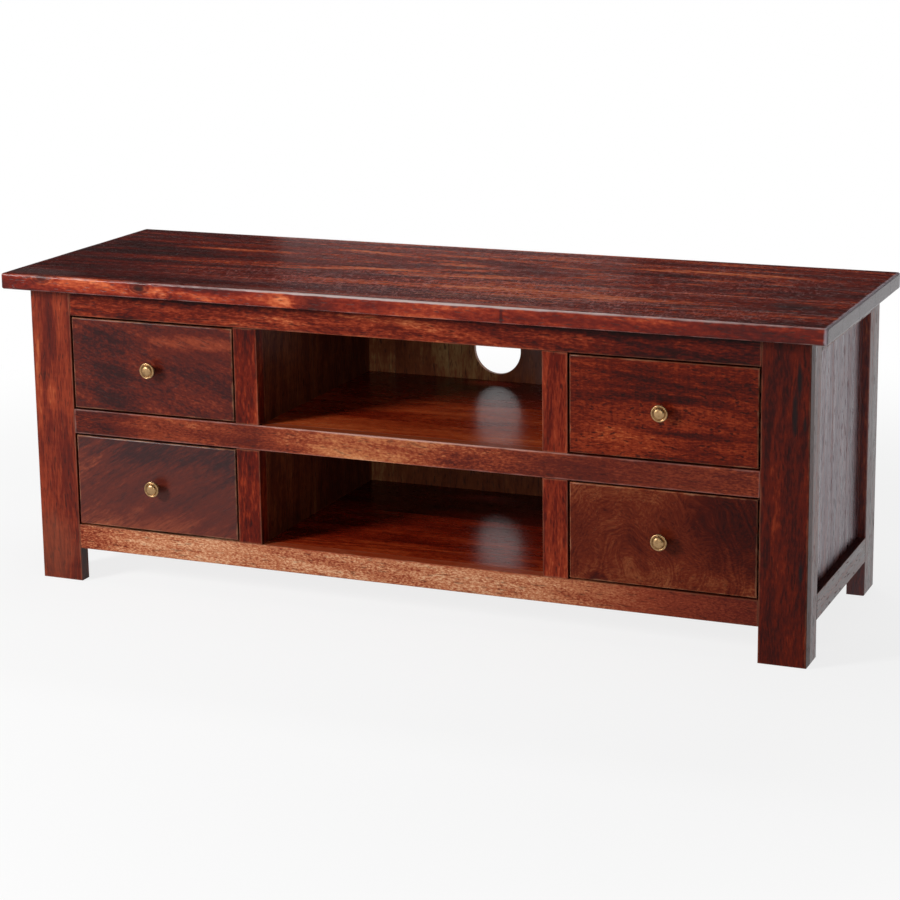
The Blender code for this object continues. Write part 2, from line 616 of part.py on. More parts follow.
def main():
    clear_scene()
    top_wood = finish("top_wood", (0.100, 0.018, 0.010), 0.30)
    frame_wood = finish("frame_wood", (0.150, 0.028, 0.012), 0.32)
    panel_wood = finish("panel_wood", (0.110, 0.022, 0.012), 0.34)
    inner_wood = finish("inner_wood", (0.080, 0.020, 0.009), 0.38)
    finishes = {"front": finish("drawer_front_wood", (0.120, 0.024, 0.011), 0.30),
                "box": finish("drawer_box_wood", (0.300, 0.150, 0.070), 0.55),
                "bottom": finish("drawer_bottom_wood", (0.360, 0.210, 0.110), 0.60),
                "brass": finish("brass", (0.420, 0.320, 0.160), 0.32, 1.0)}

    carcass = holder("carcass")
    top_board(carcass, top_wood)
    rails = face_frame(carcass, frame_wood)
    hands = ((-1, "left"), (1, "right"))
    legs = [side_frame(side, hand, carcass, frame_wood, panel_wood) for side, hand in hands]
    partitions = inside_boards(carcass, rails, inner_wood)
    back(carcass, legs, partitions, inner_wood, frame_wood)
    drawer_ways(carcass, inner_wood)
    for level, floor in (("upper", UPPER_FLOOR), ("lower", LOWER_FLOOR)):
        for side, hand in hands:
            drawer(f"{level}_{hand}", side * DRAWER_CENTRE, floor, finishes)


main()
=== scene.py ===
from functools import partial
from math import pi, radians

import bmesh
import bpy
from mathutils import Matrix, Vector


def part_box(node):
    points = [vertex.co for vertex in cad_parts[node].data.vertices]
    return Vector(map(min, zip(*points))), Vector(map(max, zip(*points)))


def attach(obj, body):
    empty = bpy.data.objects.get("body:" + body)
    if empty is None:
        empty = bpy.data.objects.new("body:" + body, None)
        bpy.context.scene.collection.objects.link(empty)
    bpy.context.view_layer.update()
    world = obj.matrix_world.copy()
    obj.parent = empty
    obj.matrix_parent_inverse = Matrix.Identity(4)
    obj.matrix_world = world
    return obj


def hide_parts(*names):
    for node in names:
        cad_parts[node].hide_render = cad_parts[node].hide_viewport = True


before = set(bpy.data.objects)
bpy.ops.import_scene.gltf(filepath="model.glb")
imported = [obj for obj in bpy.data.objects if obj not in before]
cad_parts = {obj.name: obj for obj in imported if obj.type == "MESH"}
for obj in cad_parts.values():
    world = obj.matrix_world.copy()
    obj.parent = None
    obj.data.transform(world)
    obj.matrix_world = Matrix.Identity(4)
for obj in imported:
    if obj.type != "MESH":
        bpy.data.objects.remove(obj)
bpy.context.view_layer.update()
low = {name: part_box(name)[0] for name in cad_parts}
high = {name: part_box(name)[1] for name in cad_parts}
alongX, alongY, alongZ = range(3)
hands = {"left": -1, "right": 1}
print("frame loaded,", len(low), "solids")

# Planes that several boards share, read from the solids
frameFront = low["face_stile_left"].y
frameBack = high["face_rail_top"].y
frameTop = high["face_stile_left"].z
stileInner = low["face_stile_right"].x
sideInner = low["front_leg_right"].x
panelFront = low["back_panel"].y

housingGap = 0.0003     # left round a board that is let into another
buttGap = 0.0002        # left where one board meets the face of another
overrun = 0.01          # what a cutter runs past its cut
sameSpot = 1e-5         # points that are no further apart count as one


def closePiece():
    bpy.ops.object.mode_set(mode="OBJECT")


def pickNothing():
    if bpy.context.object and bpy.context.object.mode != "OBJECT":
        closePiece()
    bpy.ops.object.select_all(action="DESELECT")


def pickPiece(piece):
    pickNothing()
    piece.select_set(True)
    bpy.context.view_layer.objects.active = piece


def openPiece(piece):
    pickPiece(piece)
    bpy.ops.object.mode_set(mode="EDIT")
    bpy.ops.mesh.select_all(action="SELECT")


# Opens a piece with only those edges or faces picked that pass the test
def pickParts(piece, kind, test):
    pickPiece(piece)
    bpy.ops.object.mode_set(mode="EDIT")
    bpy.ops.mesh.select_mode(type=kind)
    bpy.ops.mesh.select_all(action="DESELECT")
    mesh = bmesh.from_edit_mesh(piece.data)
    for part in mesh.edges if kind == "EDGE" else mesh.faces:
        if test(part):
            part.select_set(True)
    bmesh.update_edit_mesh(piece.data)


def cornersOf(piece):
    places = [vertex.co for vertex in piece.data.vertices]
    return (Vector(min(place[k] for place in places) for k in range(3)),
            Vector(max(place[k] for place in places) for k in range(3)))


def startBoard(name, near, far):
    near, far = Vector(near), Vector(far)
    pickNothing()
    middle, size = (near + far) / 2, far - near
    bpy.ops.mesh.primitive_cube_add(size=1, location=middle, scale=size)
    board = bpy.context.object
    board.name = board.data.name = name
    bpy.ops.object.transform_apply(location=True, rotation=True, scale=True)
    return board


# Rounds the edges that run along an axis on the given sides of the board: [(axis, {other axis: side})]
def easeArrises(piece, arrises, radius, steps):
    near, far = cornersOf(piece)
    middle = (near + far) / 2

    def isArris(edge):
        a, b = (vertex.co - middle for vertex in edge.verts)
        for axis, sides in arrises:
            straight = all(abs(a[k] - b[k]) < sameSpot for k in range(3) if k != axis)
            if straight and abs(a[axis] - b[axis]) > 10 * sameSpot:
                if all(a[k] * side > 0 for k, side in sides.items()):
                    return True
        return False

    pickParts(piece, "EDGE", isArris)
    bpy.ops.mesh.bevel(offset=radius, segments=steps, affect="EDGES")
    closePiece()


# Cross cuts at a regular spacing, so that the surface can give a little between them
def sliceBoard(piece, axis, spacing):
    near, far = cornersOf(piece)
    start, end = near[axis], far[axis]
    normal = [float(k == axis) for k in range(3)]
    count = max(2, round((end - start) / spacing))
    openPiece(piece)
    for k in range(1, count):
        bpy.ops.mesh.select_all(action="SELECT")
        point = [n * (start + (end - start) * k / count) for n in normal]
        bpy.ops.mesh.bisect(plane_co=point, plane_no=normal)
    closePiece()


def applyModifier(piece, modifier):
    pickPiece(piece)
    bpy.ops.object.modifier_apply(modifier=modifier.name)


# Presses the marked points in by up to a depth, in clouds of the given size
def pressIn(piece, mark, points, depth, size, direction="NORMAL"):
    piece.vertex_groups.new(name=mark).add(points, 1.0, "REPLACE")
    clouds = bpy.data.textures.new(piece.name + mark.title(), "CLOUDS")
    clouds.noise_scale = size
    press = piece.modifiers.new(mark, "DISPLACE")
    press.texture, press.texture_coords, press.vertex_group = clouds, "LOCAL", mark
    press.direction, press.mid_level, press.strength = direction, 1.0, depth
    applyModifier(piece, press)


# Rubs the arrises down unevenly, always inwards
def wearArrises(piece, wear):
    near, far = cornersOf(piece)
    rubbed = []
    for vertex in piece.data.vertices:
        gaps = sorted(min(vertex.co[k] - near[k], far[k] - vertex.co[k]) for k in range(3))
        if gaps[1] < wear["reach"]:
            rubbed.append(vertex.index)
    pressIn(piece, "worn", rubbed, wear["depth"], wear["size"])


# Faint hollows left by planing, on the face on the given side of the board
def hollowFace(piece, axis, side, hollows):
    level = cornersOf(piece)[side > 0][axis]
    planed = [vertex.index for vertex in piece.data.vertices if abs(vertex.co[axis] - level) < sameSpot]
    pressIn(piece, "planed", planed, side * hollows["depth"], hollows["size"], "XYZ"[axis])


def carve(piece, cutter):
    cut = piece.modifiers.new("carve", "BOOLEAN")
    cut.operation, cut.solver, cut.object = "DIFFERENCE", "EXACT", cutter
    applyModifier(piece, cut)
    bpy.data.objects.remove(cutter, do_unlink=True)


def putInScene(thing):
    bpy.context.scene.collection.objects.link(thing)


def copyOfSolid(node, name):
    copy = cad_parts[node].copy()
    copy.data = copy.data.copy()
    copy.name = name
    copy.parent = None
    for tag in list(copy.keys()):
        del copy[tag]
    putInScene(copy)
    openPiece(copy)
    bpy.ops.mesh.remove_doubles(threshold=sameSpot)
    closePiece()
    return copy


def finishPiece(piece, body, nodes, material, angle=35):
    openPiece(piece)
    bpy.ops.mesh.remove_doubles(threshold=sameSpot)
    bpy.ops.mesh.normals_make_consistent(inside=False)
    closePiece()
    bpy.ops.object.shade_smooth_by_angle(angle=radians(angle))
    even = piece.modifiers.new("even", "WEIGHTED_NORMAL")
    even.keep_sharp = True
    applyModifier(piece, even)
    piece.vertex_groups.clear()
    piece.data.materials.clear()
    piece.data.materials.append(material)
    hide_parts(*nodes)
    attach(piece, body)


def startTree(owner):
    owner.use_nodes = True
    owner.node_tree.nodes.clear()
    return owner.node_tree


def addNode(tree, kind, feeds=None, **settings):
    made = tree.nodes.new("ShaderNode" + kind)
    for key, value in settings.items():
        setattr(made, key, value)
    for socket, value in (feeds or {}).items():
        if isinstance(value, bpy.types.NodeSocket):
            tree.links.new(value, made.inputs[socket])
        else:
            made.inputs[socket].default_value = value
    return made


def reckon(tree, operation, *terms, clamp=False):
    return addNode(tree, "Math", dict(enumerate(terms)), operation=operation, use_clamp=clamp).outputs[0]


def reckonVector(tree, operation, *terms):
    made = addNode(tree, "VectorMath", dict(enumerate(terms)), operation=operation)
    return made.outputs["Value" if operation == "LENGTH" else "Vector"]


def partsOf(tree, vector):
    return addNode(tree, "SeparateXYZ", {"Vector": vector}).outputs


# Value noise whose features are counted per metre along and across the grain
def grainNoise(tree, place, counts, detail, roughness, output="Fac"):
    scaled = reckonVector(tree, "MULTIPLY", place, counts)
    feeds = {"Vector": scaled, "Scale": 1, "Detail": detail, "Roughness": roughness}
    return addNode(tree, "TexNoise", feeds).outputs[output]


def fade(tree, value, start, end):
    feeds = {"Value": value, "From Min": start, "From Max": end}
    return addNode(tree, "MapRange", feeds, interpolation_type="SMOOTHSTEP").outputs["Result"]


def tint(colour):
    return (*colour, 1.0)


def blend(tree, factor, under, over, mode="MIX"):
    return addNode(tree, "Mix", {0: factor, 6: under, 7: over}, data_type="RGBA", blend_type=mode).outputs[2]


def bump(tree, strength, distance, height, **under):
    feeds = {"Strength": strength, "Distance": distance, "Height": height, **under}
    return addNode(tree, "Bump", feeds).outputs[0]


def toneRamp(tree, value, tones):
    ramp = addNode(tree, "ValToRGB", {"Fac": value})
    stops = ramp.color_ramp.elements
    while len(stops) > len(tones):
        stops.remove(stops[-1])
    while len(stops) < len(tones):
        stops.new(0.5)
    for stop, (position, colour) in zip(stops, tones):
        stop.position = position
        stop.color = tint(colour)
    return ramp.outputs["Color"]


# Turns of each grain direction onto the material's own first axis
grainTurns = {"x": (0, 0, 0), "y": (0, 0, -pi / 2), "z": (0, pi / 2, 0)}

# Dark red stain over a brown wood, from its darkest figure to its lightest
redStain = ((0.1, (0.01, 0.004, 0.003)), (0.28, (0.034, 0.005, 0.004)), (0.45, (0.102, 0.01, 0.004)),
            (0.6, (0.225, 0.031, 0.01)), (0.76, (0.43, 0.118, 0.04)), (0.95, (0.64, 0.29, 0.125)))

# The same stain with redder dark figure, for the top
topStain = ((0.1, (0.03, 0.005, 0.004)), (0.28, (0.06, 0.007, 0.005)), (0.45, (0.118, 0.011, 0.004)),
            *redStain[3:])

# Painted shade on the faces inside the gaps round the drawers
gapShadeTint = (0.006, 0.003, 0.002)

# Settings that a board's timber has when it names no others
plainTimber = {
    "grain": "x",
    "lean": (0, 0, 0),          # degrees by which the grain runs out of true
    "seed": 0,
    "tones": redStain, "tone": 0.47, "contrast": 1.7,
    "cast": (1, 1, 1),          # colour laid over the whole board
    "fall": ((0, 0),),          # shift of tone from place to place along the board
    "calm": (),                 # zones with a quieter figure: centre, half sizes, share taken away
    "pushes": (),               # lighter or darker zones: centre, half sizes, shift of tone
    "stains": (),               # zones with a colour of their own, some of them painted highlights, reflections and shade: centre, half sizes, colour, strength
    "raggedSize": (30, 55, 55), "raggedness": 0.9, "zoneRim": (1.6, 0.8),
    "pith": (0.06, -0.12),      # heart of the log beside and behind the board
    "taper": 0.1,
    "waviness": 0.01, "wavesPerMetre": (2.5, 9, 9),
    "rings": 90, "ringShare": 0.2,
    "streaks": (3, 48, 48), "streakShare": 0.24,
    "dashes": (75, 330, 330), "dashShare": 0.3,
    "clouds": (10, 30, 30), "cloudShare": 0.26,
    "ripples": (150, 14, 14), "rippleDepth": 0.03,
    "pores": 0.6, "poreSize": (60, 330, 330), "poreSpan": (0.6, 0.72), "poreTint": (0.012, 0.004, 0.003),
    "curls": 0, "curlSize": (110, 230, 230),
    "sparkle": (),              # zones of painted glints on the open pores: centre, half sizes, strength
    "sparkleSize": (170, 60, 170), "sparkleSpan": (0.54, 0.68), "sparkleTint": (0.55, 0.42, 0.42),
    "knots": (),                # place along, beside, behind, size, push of the rings, darkness
    "knotTint": (0.01, 0.005, 0.004),
    "planks": None,             # axis across, width, offset, spread of tone
    "plankRings": 90, "seamSpan": (0.0011, 0.0002), "seamShade": 0.35, "seamTint": (0.012, 0.005, 0.004),
    "bare": None,               # unstained edges: axis of the stained faces, colour, strength
    "endTint": (0.55, 0.5, 0.5), "endSpan": (0.75, 0.95),
    "worn": 0.3, "wornReach": 0.003, "wornTint": (0.36, 0.13, 0.07),
    "gloss": 0.31, "glossSpread": 0.1, "poreGloss": 2.7, "ior": 1.16, "sheen": (1, 1, 1),
    "relief": 0.35, "reliefDepth": 0.0004, "dashRelief": 0.7, "seamRelief": -1.5,
    "wave": 0.2, "waveDepth": 0.0012, "waveSize": (5, 26, 26),
}


# Zones on a front: its place, the reach behind it, and rows of x, z, half width, half height and the rest
def onFront(y, reach, *rows):
    return [((x, y, z), (halfX, reach, halfZ), *rest) for x, z, halfX, halfZ, *rest in rows]


# The same on a level face, with rows of x, y, half width, half depth and the rest
def onTop(z, reach, *rows):
    return [((x, y, z), (halfX, halfY, reach), *rest) for x, y, halfX, halfY, *rest in rows]


# The front of the frame and of the drawers
onFrame = partial(onFront, -0.19, 0.03)


def stainedTimber(name, changes, near, far):
    wood = {**plainTimber, **changes}
    material = bpy.data.materials.new(name)
    tree = startTree(material)
    jobs = (reckon, reckonVector, grainNoise, fade, blend)
    calc, vector, noise, ease, mix = (partial(job, tree) for job in jobs)
    middle = (Vector(near) + Vector(far)) / 2
    half = (Vector(far) - Vector(near)) / 2
    where = addNode(tree, "TexCoord").outputs
    centred = vector("SUBTRACT", where["Object"], middle)
    turned = addNode(tree, "Mapping", {"Vector": centred, "Rotation": grainTurns[wood["grain"]]}).outputs[0]
    lean = [radians(angle) for angle in wood["lean"]]
    board = addNode(tree, "Mapping", {"Vector": turned, "Rotation": lean}).outputs[0]
    parts = partsOf(tree, turned)
    along = parts["X"]

    # where this board was cut from: a step to an untouched part of the pattern, another for each plank
    seed = wood["seed"]
    shifted = vector("ADD", board, (3.1 + seed * 1.7, 1.3 + seed * 0.61, 2.2 + seed * 0.37))
    plankTone, seam = None, None
    if wood["planks"]:
        axis, width, offset, spread = wood["planks"]
        count = calc("MULTIPLY_ADD", parts[axis], 1 / width, offset + 40)
        chance = addNode(tree, "TexWhiteNoise", {"W": calc("FLOOR", count)}, noise_dimensions="1D").outputs
        shifted = vector("ADD", shifted, vector("MULTIPLY", chance["Color"], (4.0, 0.7, 0.7)))
        plankTone = calc("MULTIPLY_ADD", chance["Value"], 2 * spread, -spread)
        beside = calc("ABSOLUTE", calc("SUBTRACT", calc("FRACT", count), 0.5))
        seam = ease(beside, *(0.5 - reach / width for reach in wood["seamSpan"]))

    # the grain wanders, and the rings run round the heart of the log
    drift = noise(shifted, wood["wavesPerMetre"], 2, 0.5, "Color")
    sway = wood["waviness"] * 3
    drift = vector("MULTIPLY", vector("SUBTRACT", drift, (0.5, 0.5, 0.5)), (0, sway, sway))
    flow = vector("ADD", shifted, drift)
    around = vector("ADD", board, drift)
    heart = vector("SUBTRACT", around, (0, *wood["pith"]))
    radius = vector("LENGTH", vector("MULTIPLY", heart, (0, 1, 1)))
    radius = calc("MULTIPLY_ADD", along, wood["taper"], radius)

    knotShade = None
    for knotAlong, beside, behind, size, push, darkness in wood["knots"]:
        apart = vector("SUBTRACT", around, (knotAlong, beside, behind))
        distance = vector("LENGTH", vector("MULTIPLY", apart, (0.6 / size, 1 / size, 1 / size)))
        nearness = calc("EXPONENT", calc("MULTIPLY", calc("MULTIPLY", distance, distance), -1))
        radius = calc("MULTIPLY_ADD", nearness, push, radius)
        shade = calc("MULTIPLY", nearness, darkness)
        knotShade = calc("MAXIMUM", knotShade, shade) if knotShade else shade

    ringPlace = calc("MULTIPLY_ADD", radius, wood["rings"], seed * 3.7)
    if plankTone:
        ringPlace = calc("MULTIPLY_ADD", plankTone, wood["plankRings"], ringPlace)
    ringFeeds = {"W": ringPlace, "Scale": 1, "Detail": 4, "Roughness": 0.6}
    rings = addNode(tree, "TexNoise", ringFeeds, noise_dimensions="1D").outputs["Fac"]
    dashes, clouds = noise(flow, wood["dashes"], 2, 0.6), noise(flow, wood["clouds"], 3, 0.6)
    streaks = noise(flow, wood["streaks"], 4, 0.6)
    tone, total = 0.0, 0.0
    for figure, kind in ((rings, "ring"), (dashes, "dash"), (clouds, "cloud"), (streaks, "streak")):
        tone = calc("MULTIPLY_ADD", figure, wood[kind + "Share"], tone)
        total += wood[kind + "Share"]
    tone = calc("MULTIPLY_ADD", tone, wood["contrast"] / total, wood["tone"] - wood["contrast"] / 2)
    depth = wood["rippleDepth"]
    ripples = calc("MULTIPLY_ADD", noise(flow, wood["ripples"], 2, 0.5), 2 * depth, -depth)
    tone = calc("ADD", tone, ripples)
    if wood["curls"]:
        curls = noise(vector("MULTIPLY_ADD", drift, (0, 2, 2), shifted), wood["curlSize"], 2, 0.6)
        tone = calc("MULTIPLY_ADD", curls, wood["curls"], calc("SUBTRACT", tone, wood["curls"] / 2))

    ragged = noise(shifted, wood["raggedSize"], 3, 0.6)

    # 1 in the middle of a zone, falling away to 0 with a ragged rim
    def cover(centre, halfSizes):
        apart = vector("DIVIDE", vector("SUBTRACT", where["Object"], centre), halfSizes)
        distance = calc("MULTIPLY_ADD", ragged, wood["raggedness"], vector("LENGTH", apart))
        return ease(distance, *wood["zoneRim"])

    for *zone, share in wood["calm"]:
        quiet = calc("MULTIPLY", cover(*zone), share)
        tone = calc("MULTIPLY_ADD", calc("SUBTRACT", wood["tone"], tone), quiet, tone)
    if plankTone:
        tone = calc("ADD", tone, plankTone)
    if len(wood["fall"]) > 1:
        reach = max(abs(spot) for spot, shift in wood["fall"])
        level = toneRamp(tree, calc("MULTIPLY_ADD", along, 0.5 / reach, 0.5),
                         [((spot / reach + 1) / 2, (0.5 + shift,) * 3) for spot, shift in wood["fall"]])
        tone = calc("ADD", tone, calc("SUBTRACT", partsOf(tree, level)[0], 0.5))
    for *zone, shift in wood["pushes"]:
        tone = calc("MULTIPLY_ADD", cover(*zone), shift, tone)

    colour = vector("MULTIPLY", toneRamp(tree, tone, wood["tones"]), wood["cast"])
    pores = ease(noise(flow, wood["poreSize"], 1, 0.5), *wood["poreSpan"])
    colour = mix(calc("MULTIPLY", pores, wood["pores"]), colour, tint(wood["poreTint"]))
    if knotShade:
        colour = mix(knotShade, colour, tint(wood["knotTint"]))
    # colour zones, some of them painted highlights, reflections and shade
    for *zone, over, strength in wood["stains"]:
        colour = mix(calc("MULTIPLY", cover(*zone), strength), colour, tint(over))
    # painted glints: pale specks in the colour where the open pores would catch the light
    for *zone, strength in wood["sparkle"]:
        paintedGlintMask = ease(noise(shifted, wood["sparkleSize"], 2, 0.7), *wood["sparkleSpan"])
        paintedGlintMask = calc("MULTIPLY", paintedGlintMask, calc("MULTIPLY", cover(*zone), strength))
        colour = mix(paintedGlintMask, colour, tint(wood["sparkleTint"]))

    # end grain drinks more stain
    facing = partsOf(tree, vector("ABSOLUTE", where["Normal"]))
    if wood["bare"]:
        axis, bareTint, strength = wood["bare"]
        aside = ease(facing[axis], 0.5, 0.1)
        colour = mix(calc("MULTIPLY", aside, strength), colour, tint(bareTint))
    endGrain = ease(facing[wood["grain"].upper()], *wood["endSpan"])
    colour = mix(endGrain, colour, mix(1.0, colour, tint(wood["endTint"]), "MULTIPLY"))

    # rubbed arrises, paler from wear and on some boards from a painted highlight: the second smallest
    # distance to the faces is the distance to the nearest edge
    gaps = partsOf(tree, vector("SUBTRACT", half, vector("ABSOLUTE", centred)))
    lower, upper = (calc(choice, gaps[0], gaps[1]) for choice in ("MINIMUM", "MAXIMUM"))
    edge = calc("MAXIMUM", lower, calc("MINIMUM", upper, gaps[2]))
    edge = calc("ADD", edge, calc("MULTIPLY_ADD", ragged, wood["wornReach"] * 2, -wood["wornReach"]))
    rubbed = calc("MULTIPLY", ease(edge, wood["wornReach"], 0.0), wood["worn"])
    colour = mix(rubbed, colour, tint(wood["wornTint"]))
    if seam:
        colour = mix(calc("MULTIPLY", seam, wood["seamShade"]), colour, tint(wood["seamTint"]))

    spread = wood["glossSpread"]
    gloss = calc("MULTIPLY_ADD", pores, spread * wood["poreGloss"] * wood["pores"], wood["gloss"])
    gloss = calc("MULTIPLY_ADD", clouds, spread, calc("SUBTRACT", gloss, spread / 2))
    relief = calc("MULTIPLY_ADD", pores, -1, calc("MULTIPLY", dashes, wood["dashRelief"]))
    if seam:
        relief = calc("MULTIPLY_ADD", seam, wood["seamRelief"], relief)
    fine = bump(tree, wood["relief"], wood["reliefDepth"], relief)
    coarse = bump(tree, wood["wave"], wood["waveDepth"], noise(flow, wood["waveSize"], 2, 0.5), Normal=fine)
    shader = addNode(tree, "BsdfPrincipled", {"Base Color": colour, "Roughness": gloss, "IOR": wood["ior"],
                                              "Specular Tint": tint(wood["sheen"]), "Normal": coarse})
    addNode(tree, "OutputMaterial", {"Surface": shader.outputs[0]})
    return material


def finishBoard(board, node, timber, near, far, body="cabinet"):
    material = stainedTimber(board.name + "Timber", timber, near, far)
    finishPiece(board, body, [node], material)


topSlab = {
    "cornerRadius": 0.005, "arrisRadius": 0.0036, "steps": 5, "slices": (0.045, 0.05),
    "wear": {"reach": 0.004, "depth": 0.0004, "size": 0.03}, "hollows": {"depth": 0.0003, "size": 0.16},
    "timber": {
        "seed": 1, "tones": topStain, "cast": (1.07, 0.74, 0.68), "planks": ("Y", 0.098, 0.42, 0.04),
        # the pale grey tint of the rubbed arrises is partly wear and partly a painted highlight
        "ior": 1.26, "gloss": 0.24, "relief": 0.5, "worn": 0.45, "wornReach": 0.0024,
        "wornTint": (0.46, 0.32, 0.29), "tone": 0.49, "contrast": 3.2, "waviness": 0.006,
        "streaks": (1.3, 34, 34), "streakShare": 0.4, "dashes": (100, 110, 240), "dashShare": 0.2,
        "clouds": (4, 22, 50), "cloudShare": 0.2,
        "calm": onFront(-0.23, 0.011, (0, 0.475, 1.4, 0.06, 0.3)),
        "fall": ((-0.65, -0.15), (-0.45, -0.09), (-0.2, 0.06), (0.15, 0.08), (0.4, 0.01), (0.65, -0.08)),
        "pushes": [
            *onFront(-0.23, 0.011, (0, 0.475, 1.1, 0.06, 0.09), (0.12, 0.475, 0.3, 0.06, 0.01)),
            *onFront(-0.225, 0.012, (-0.5, 0.482, 0.12, 0.02, 0.14), (-0.62, 0.486, 0.05, 0.008, -0.12),
                     (-0.375, 0.478, 0.03, 0.018, 0.16), (-0.27, 0.47, 0.06, 0.012, 0.06),
                     (-0.3, 0.49, 0.1, 0.008, -0.1), (-0.165, 0.478, 0.022, 0.018, 0.13),
                     (-0.112, 0.474, 0.035, 0.022, -0.16), (0.045, 0.474, 0.07, 0.014, 0.14),
                     (0.235, 0.468, 0.055, 0.014, 0.1), (0.18, 0.478, 0.003, 0.016, -0.25),
                     (0.4, 0.475, 0.1, 0.022, 0.02)),
            *onFront(-0.225, 0.014, (0.66, 0.475, 0.14, 0.04, -0.07)),
            *onTop(0.495, 0.02, (-0.58, -0.02, 0.16, 0.22, -0.1), (-0.38, 0.085, 0.2, 0.009, 0.18),
                   (-0.16, 0.045, 0.16, 0.009, 0.22), (-0.1, 0, 0.22, 0.007, 0.16),
                   (0.1, 0.125, 0.35, 0.03, 0.05), (0.45, 0.12, 0.25, 0.016, 0.12),
                   (0.52, 0.02, 0.16, 0.01, 0.1), (-0.25, -0.15, 0.25, 0.03, 0.06),
                   (-0.3, 0.02, 0.3, 0.01, -0.14), (0.05, 0.085, 0.4, 0.009, -0.14))],
        "stains": [
            # painted reflections: a dark bluish band behind the front arris, and a paler sheen just behind
            # the arris and at the near left corner
            *onTop(0.495, 0.01, (0, -0.165, 0.42, 0.03, (0.034, 0.022, 0.027), 0.66),
                   (0.05, -0.209, 0.5, 0.015, (0.3, 0.12, 0.1), 0.4),
                   (-0.6, -0.19, 0.09, 0.035, (0.14, 0.085, 0.08), 0.35)),
            # painted highlight: a pale line along the rounded front arris of the top
            ((0.14, -0.2238, 0.4945), (0.7, 0.0044, 0.003), (0.36, 0.28, 0.27), 0.75),
            ((0.04, -0.2238, 0.4945), (0.36, 0.0045, 0.0031), (0.5, 0.42, 0.4), 0.75),
            # painted reflection: a pale grey-mauve sheen on the right end of the top
            ((0.65, 0, 0.48), (0.006, 0.5, 0.05), (0.6, 0.54, 0.6), 0.85),
            *onTop(0.495, 0.01, (0.57, -0.09, 0.045, 0.03, (0.03, 0.014, 0.014), 0.7),
                   (0.36, -0.085, 0.05, 0.015, (0.03, 0.014, 0.014), 0.5))],
        # painted glints of light on the open pores of the top
        "sparkle": onTop(0.495, 0.01, (0.08, -0.1, 0.4, 0.13, 0.52), (-0.28, -0.1, 0.2, 0.06, 0.3),
                         (0.45, -0.17, 0.2, 0.06, 0.34), (0.44, 0.05, 0.25, 0.15, 0.26)),
        "sparkleTint": (0.7, 0.31, 0.28), "sparkleSize": (300, 110, 300),
        "knots": ((-0.577, -0.225, 0.008, 0.01, 0.035, 0.75), (-0.406, -0.225, 0.006, 0.008, 0.045, 0.95),
                  (-0.364, -0.225, -0.004, 0.008, 0.03, 0.2), (-0.116, -0.225, -0.002, 0.016, 0.03, 0.35))},
}


def makeTop():
    slab = startBoard("topSlab", low["top_board"], high["top_board"])
    easeArrises(slab, [(alongZ, {})], topSlab["cornerRadius"], topSlab["steps"])
    pickParts(slab, "FACE", lambda face: abs(face.normal.z) > 0.9)
    bpy.ops.mesh.region_to_loop()
    bpy.ops.mesh.bevel(offset=topSlab["arrisRadius"], segments=topSlab["steps"], affect="EDGES")
    closePiece()
    for axis, spacing in zip((alongX, alongY), topSlab["slices"]):
        sliceBoard(slab, axis, spacing)
    hollowFace(slab, alongZ, 1, topSlab["hollows"])
    wearArrises(slab, topSlab["wear"])
    timber = stainedTimber("topTimber", topSlab["timber"], low["top_board"], high["top_board"])
    finishPiece(slab, "cabinet", ["top_board"], timber)


makeTop()
print("top made")

frameWork = {
    "outerArris": 0.002, "innerArris": 0.0012, "steps": 3, "slice": 0.05,
    "wear": {"reach": 0.003, "depth": 0.0004, "size": 0.03},
}


# One board of the face frame or of a side frame
def makeFrameBoard(name, node, near, far, axis, arrises, timber, rebate=None):
    board = startBoard(name, near, far)
    for kind, chosen in arrises.items():
        easeArrises(board, chosen, frameWork[kind], frameWork["steps"])
    if rebate:
        carve(board, startBoard("rebate", *rebate))
    sliceBoard(board, axis, frameWork["slice"])
    wearArrises(board, frameWork["wear"])
    finishBoard(board, node, timber, near, far)


# Three red zones in a row along the upper arris and top face of a rail, in its middle
def redEdge(y, reach, z, colour):
    return onFront(y, reach, *((x, z, 0.14, 0.005, colour, 0.9) for x in (-0.15, 0, 0.15)))


# Thin zones of painted shade on the faces inside the drawer gaps
def gapShadeLines(*rows):
    return onFront(-0.178, 0.014, *((*row, gapShadeTint, 0.9) for row in rows))


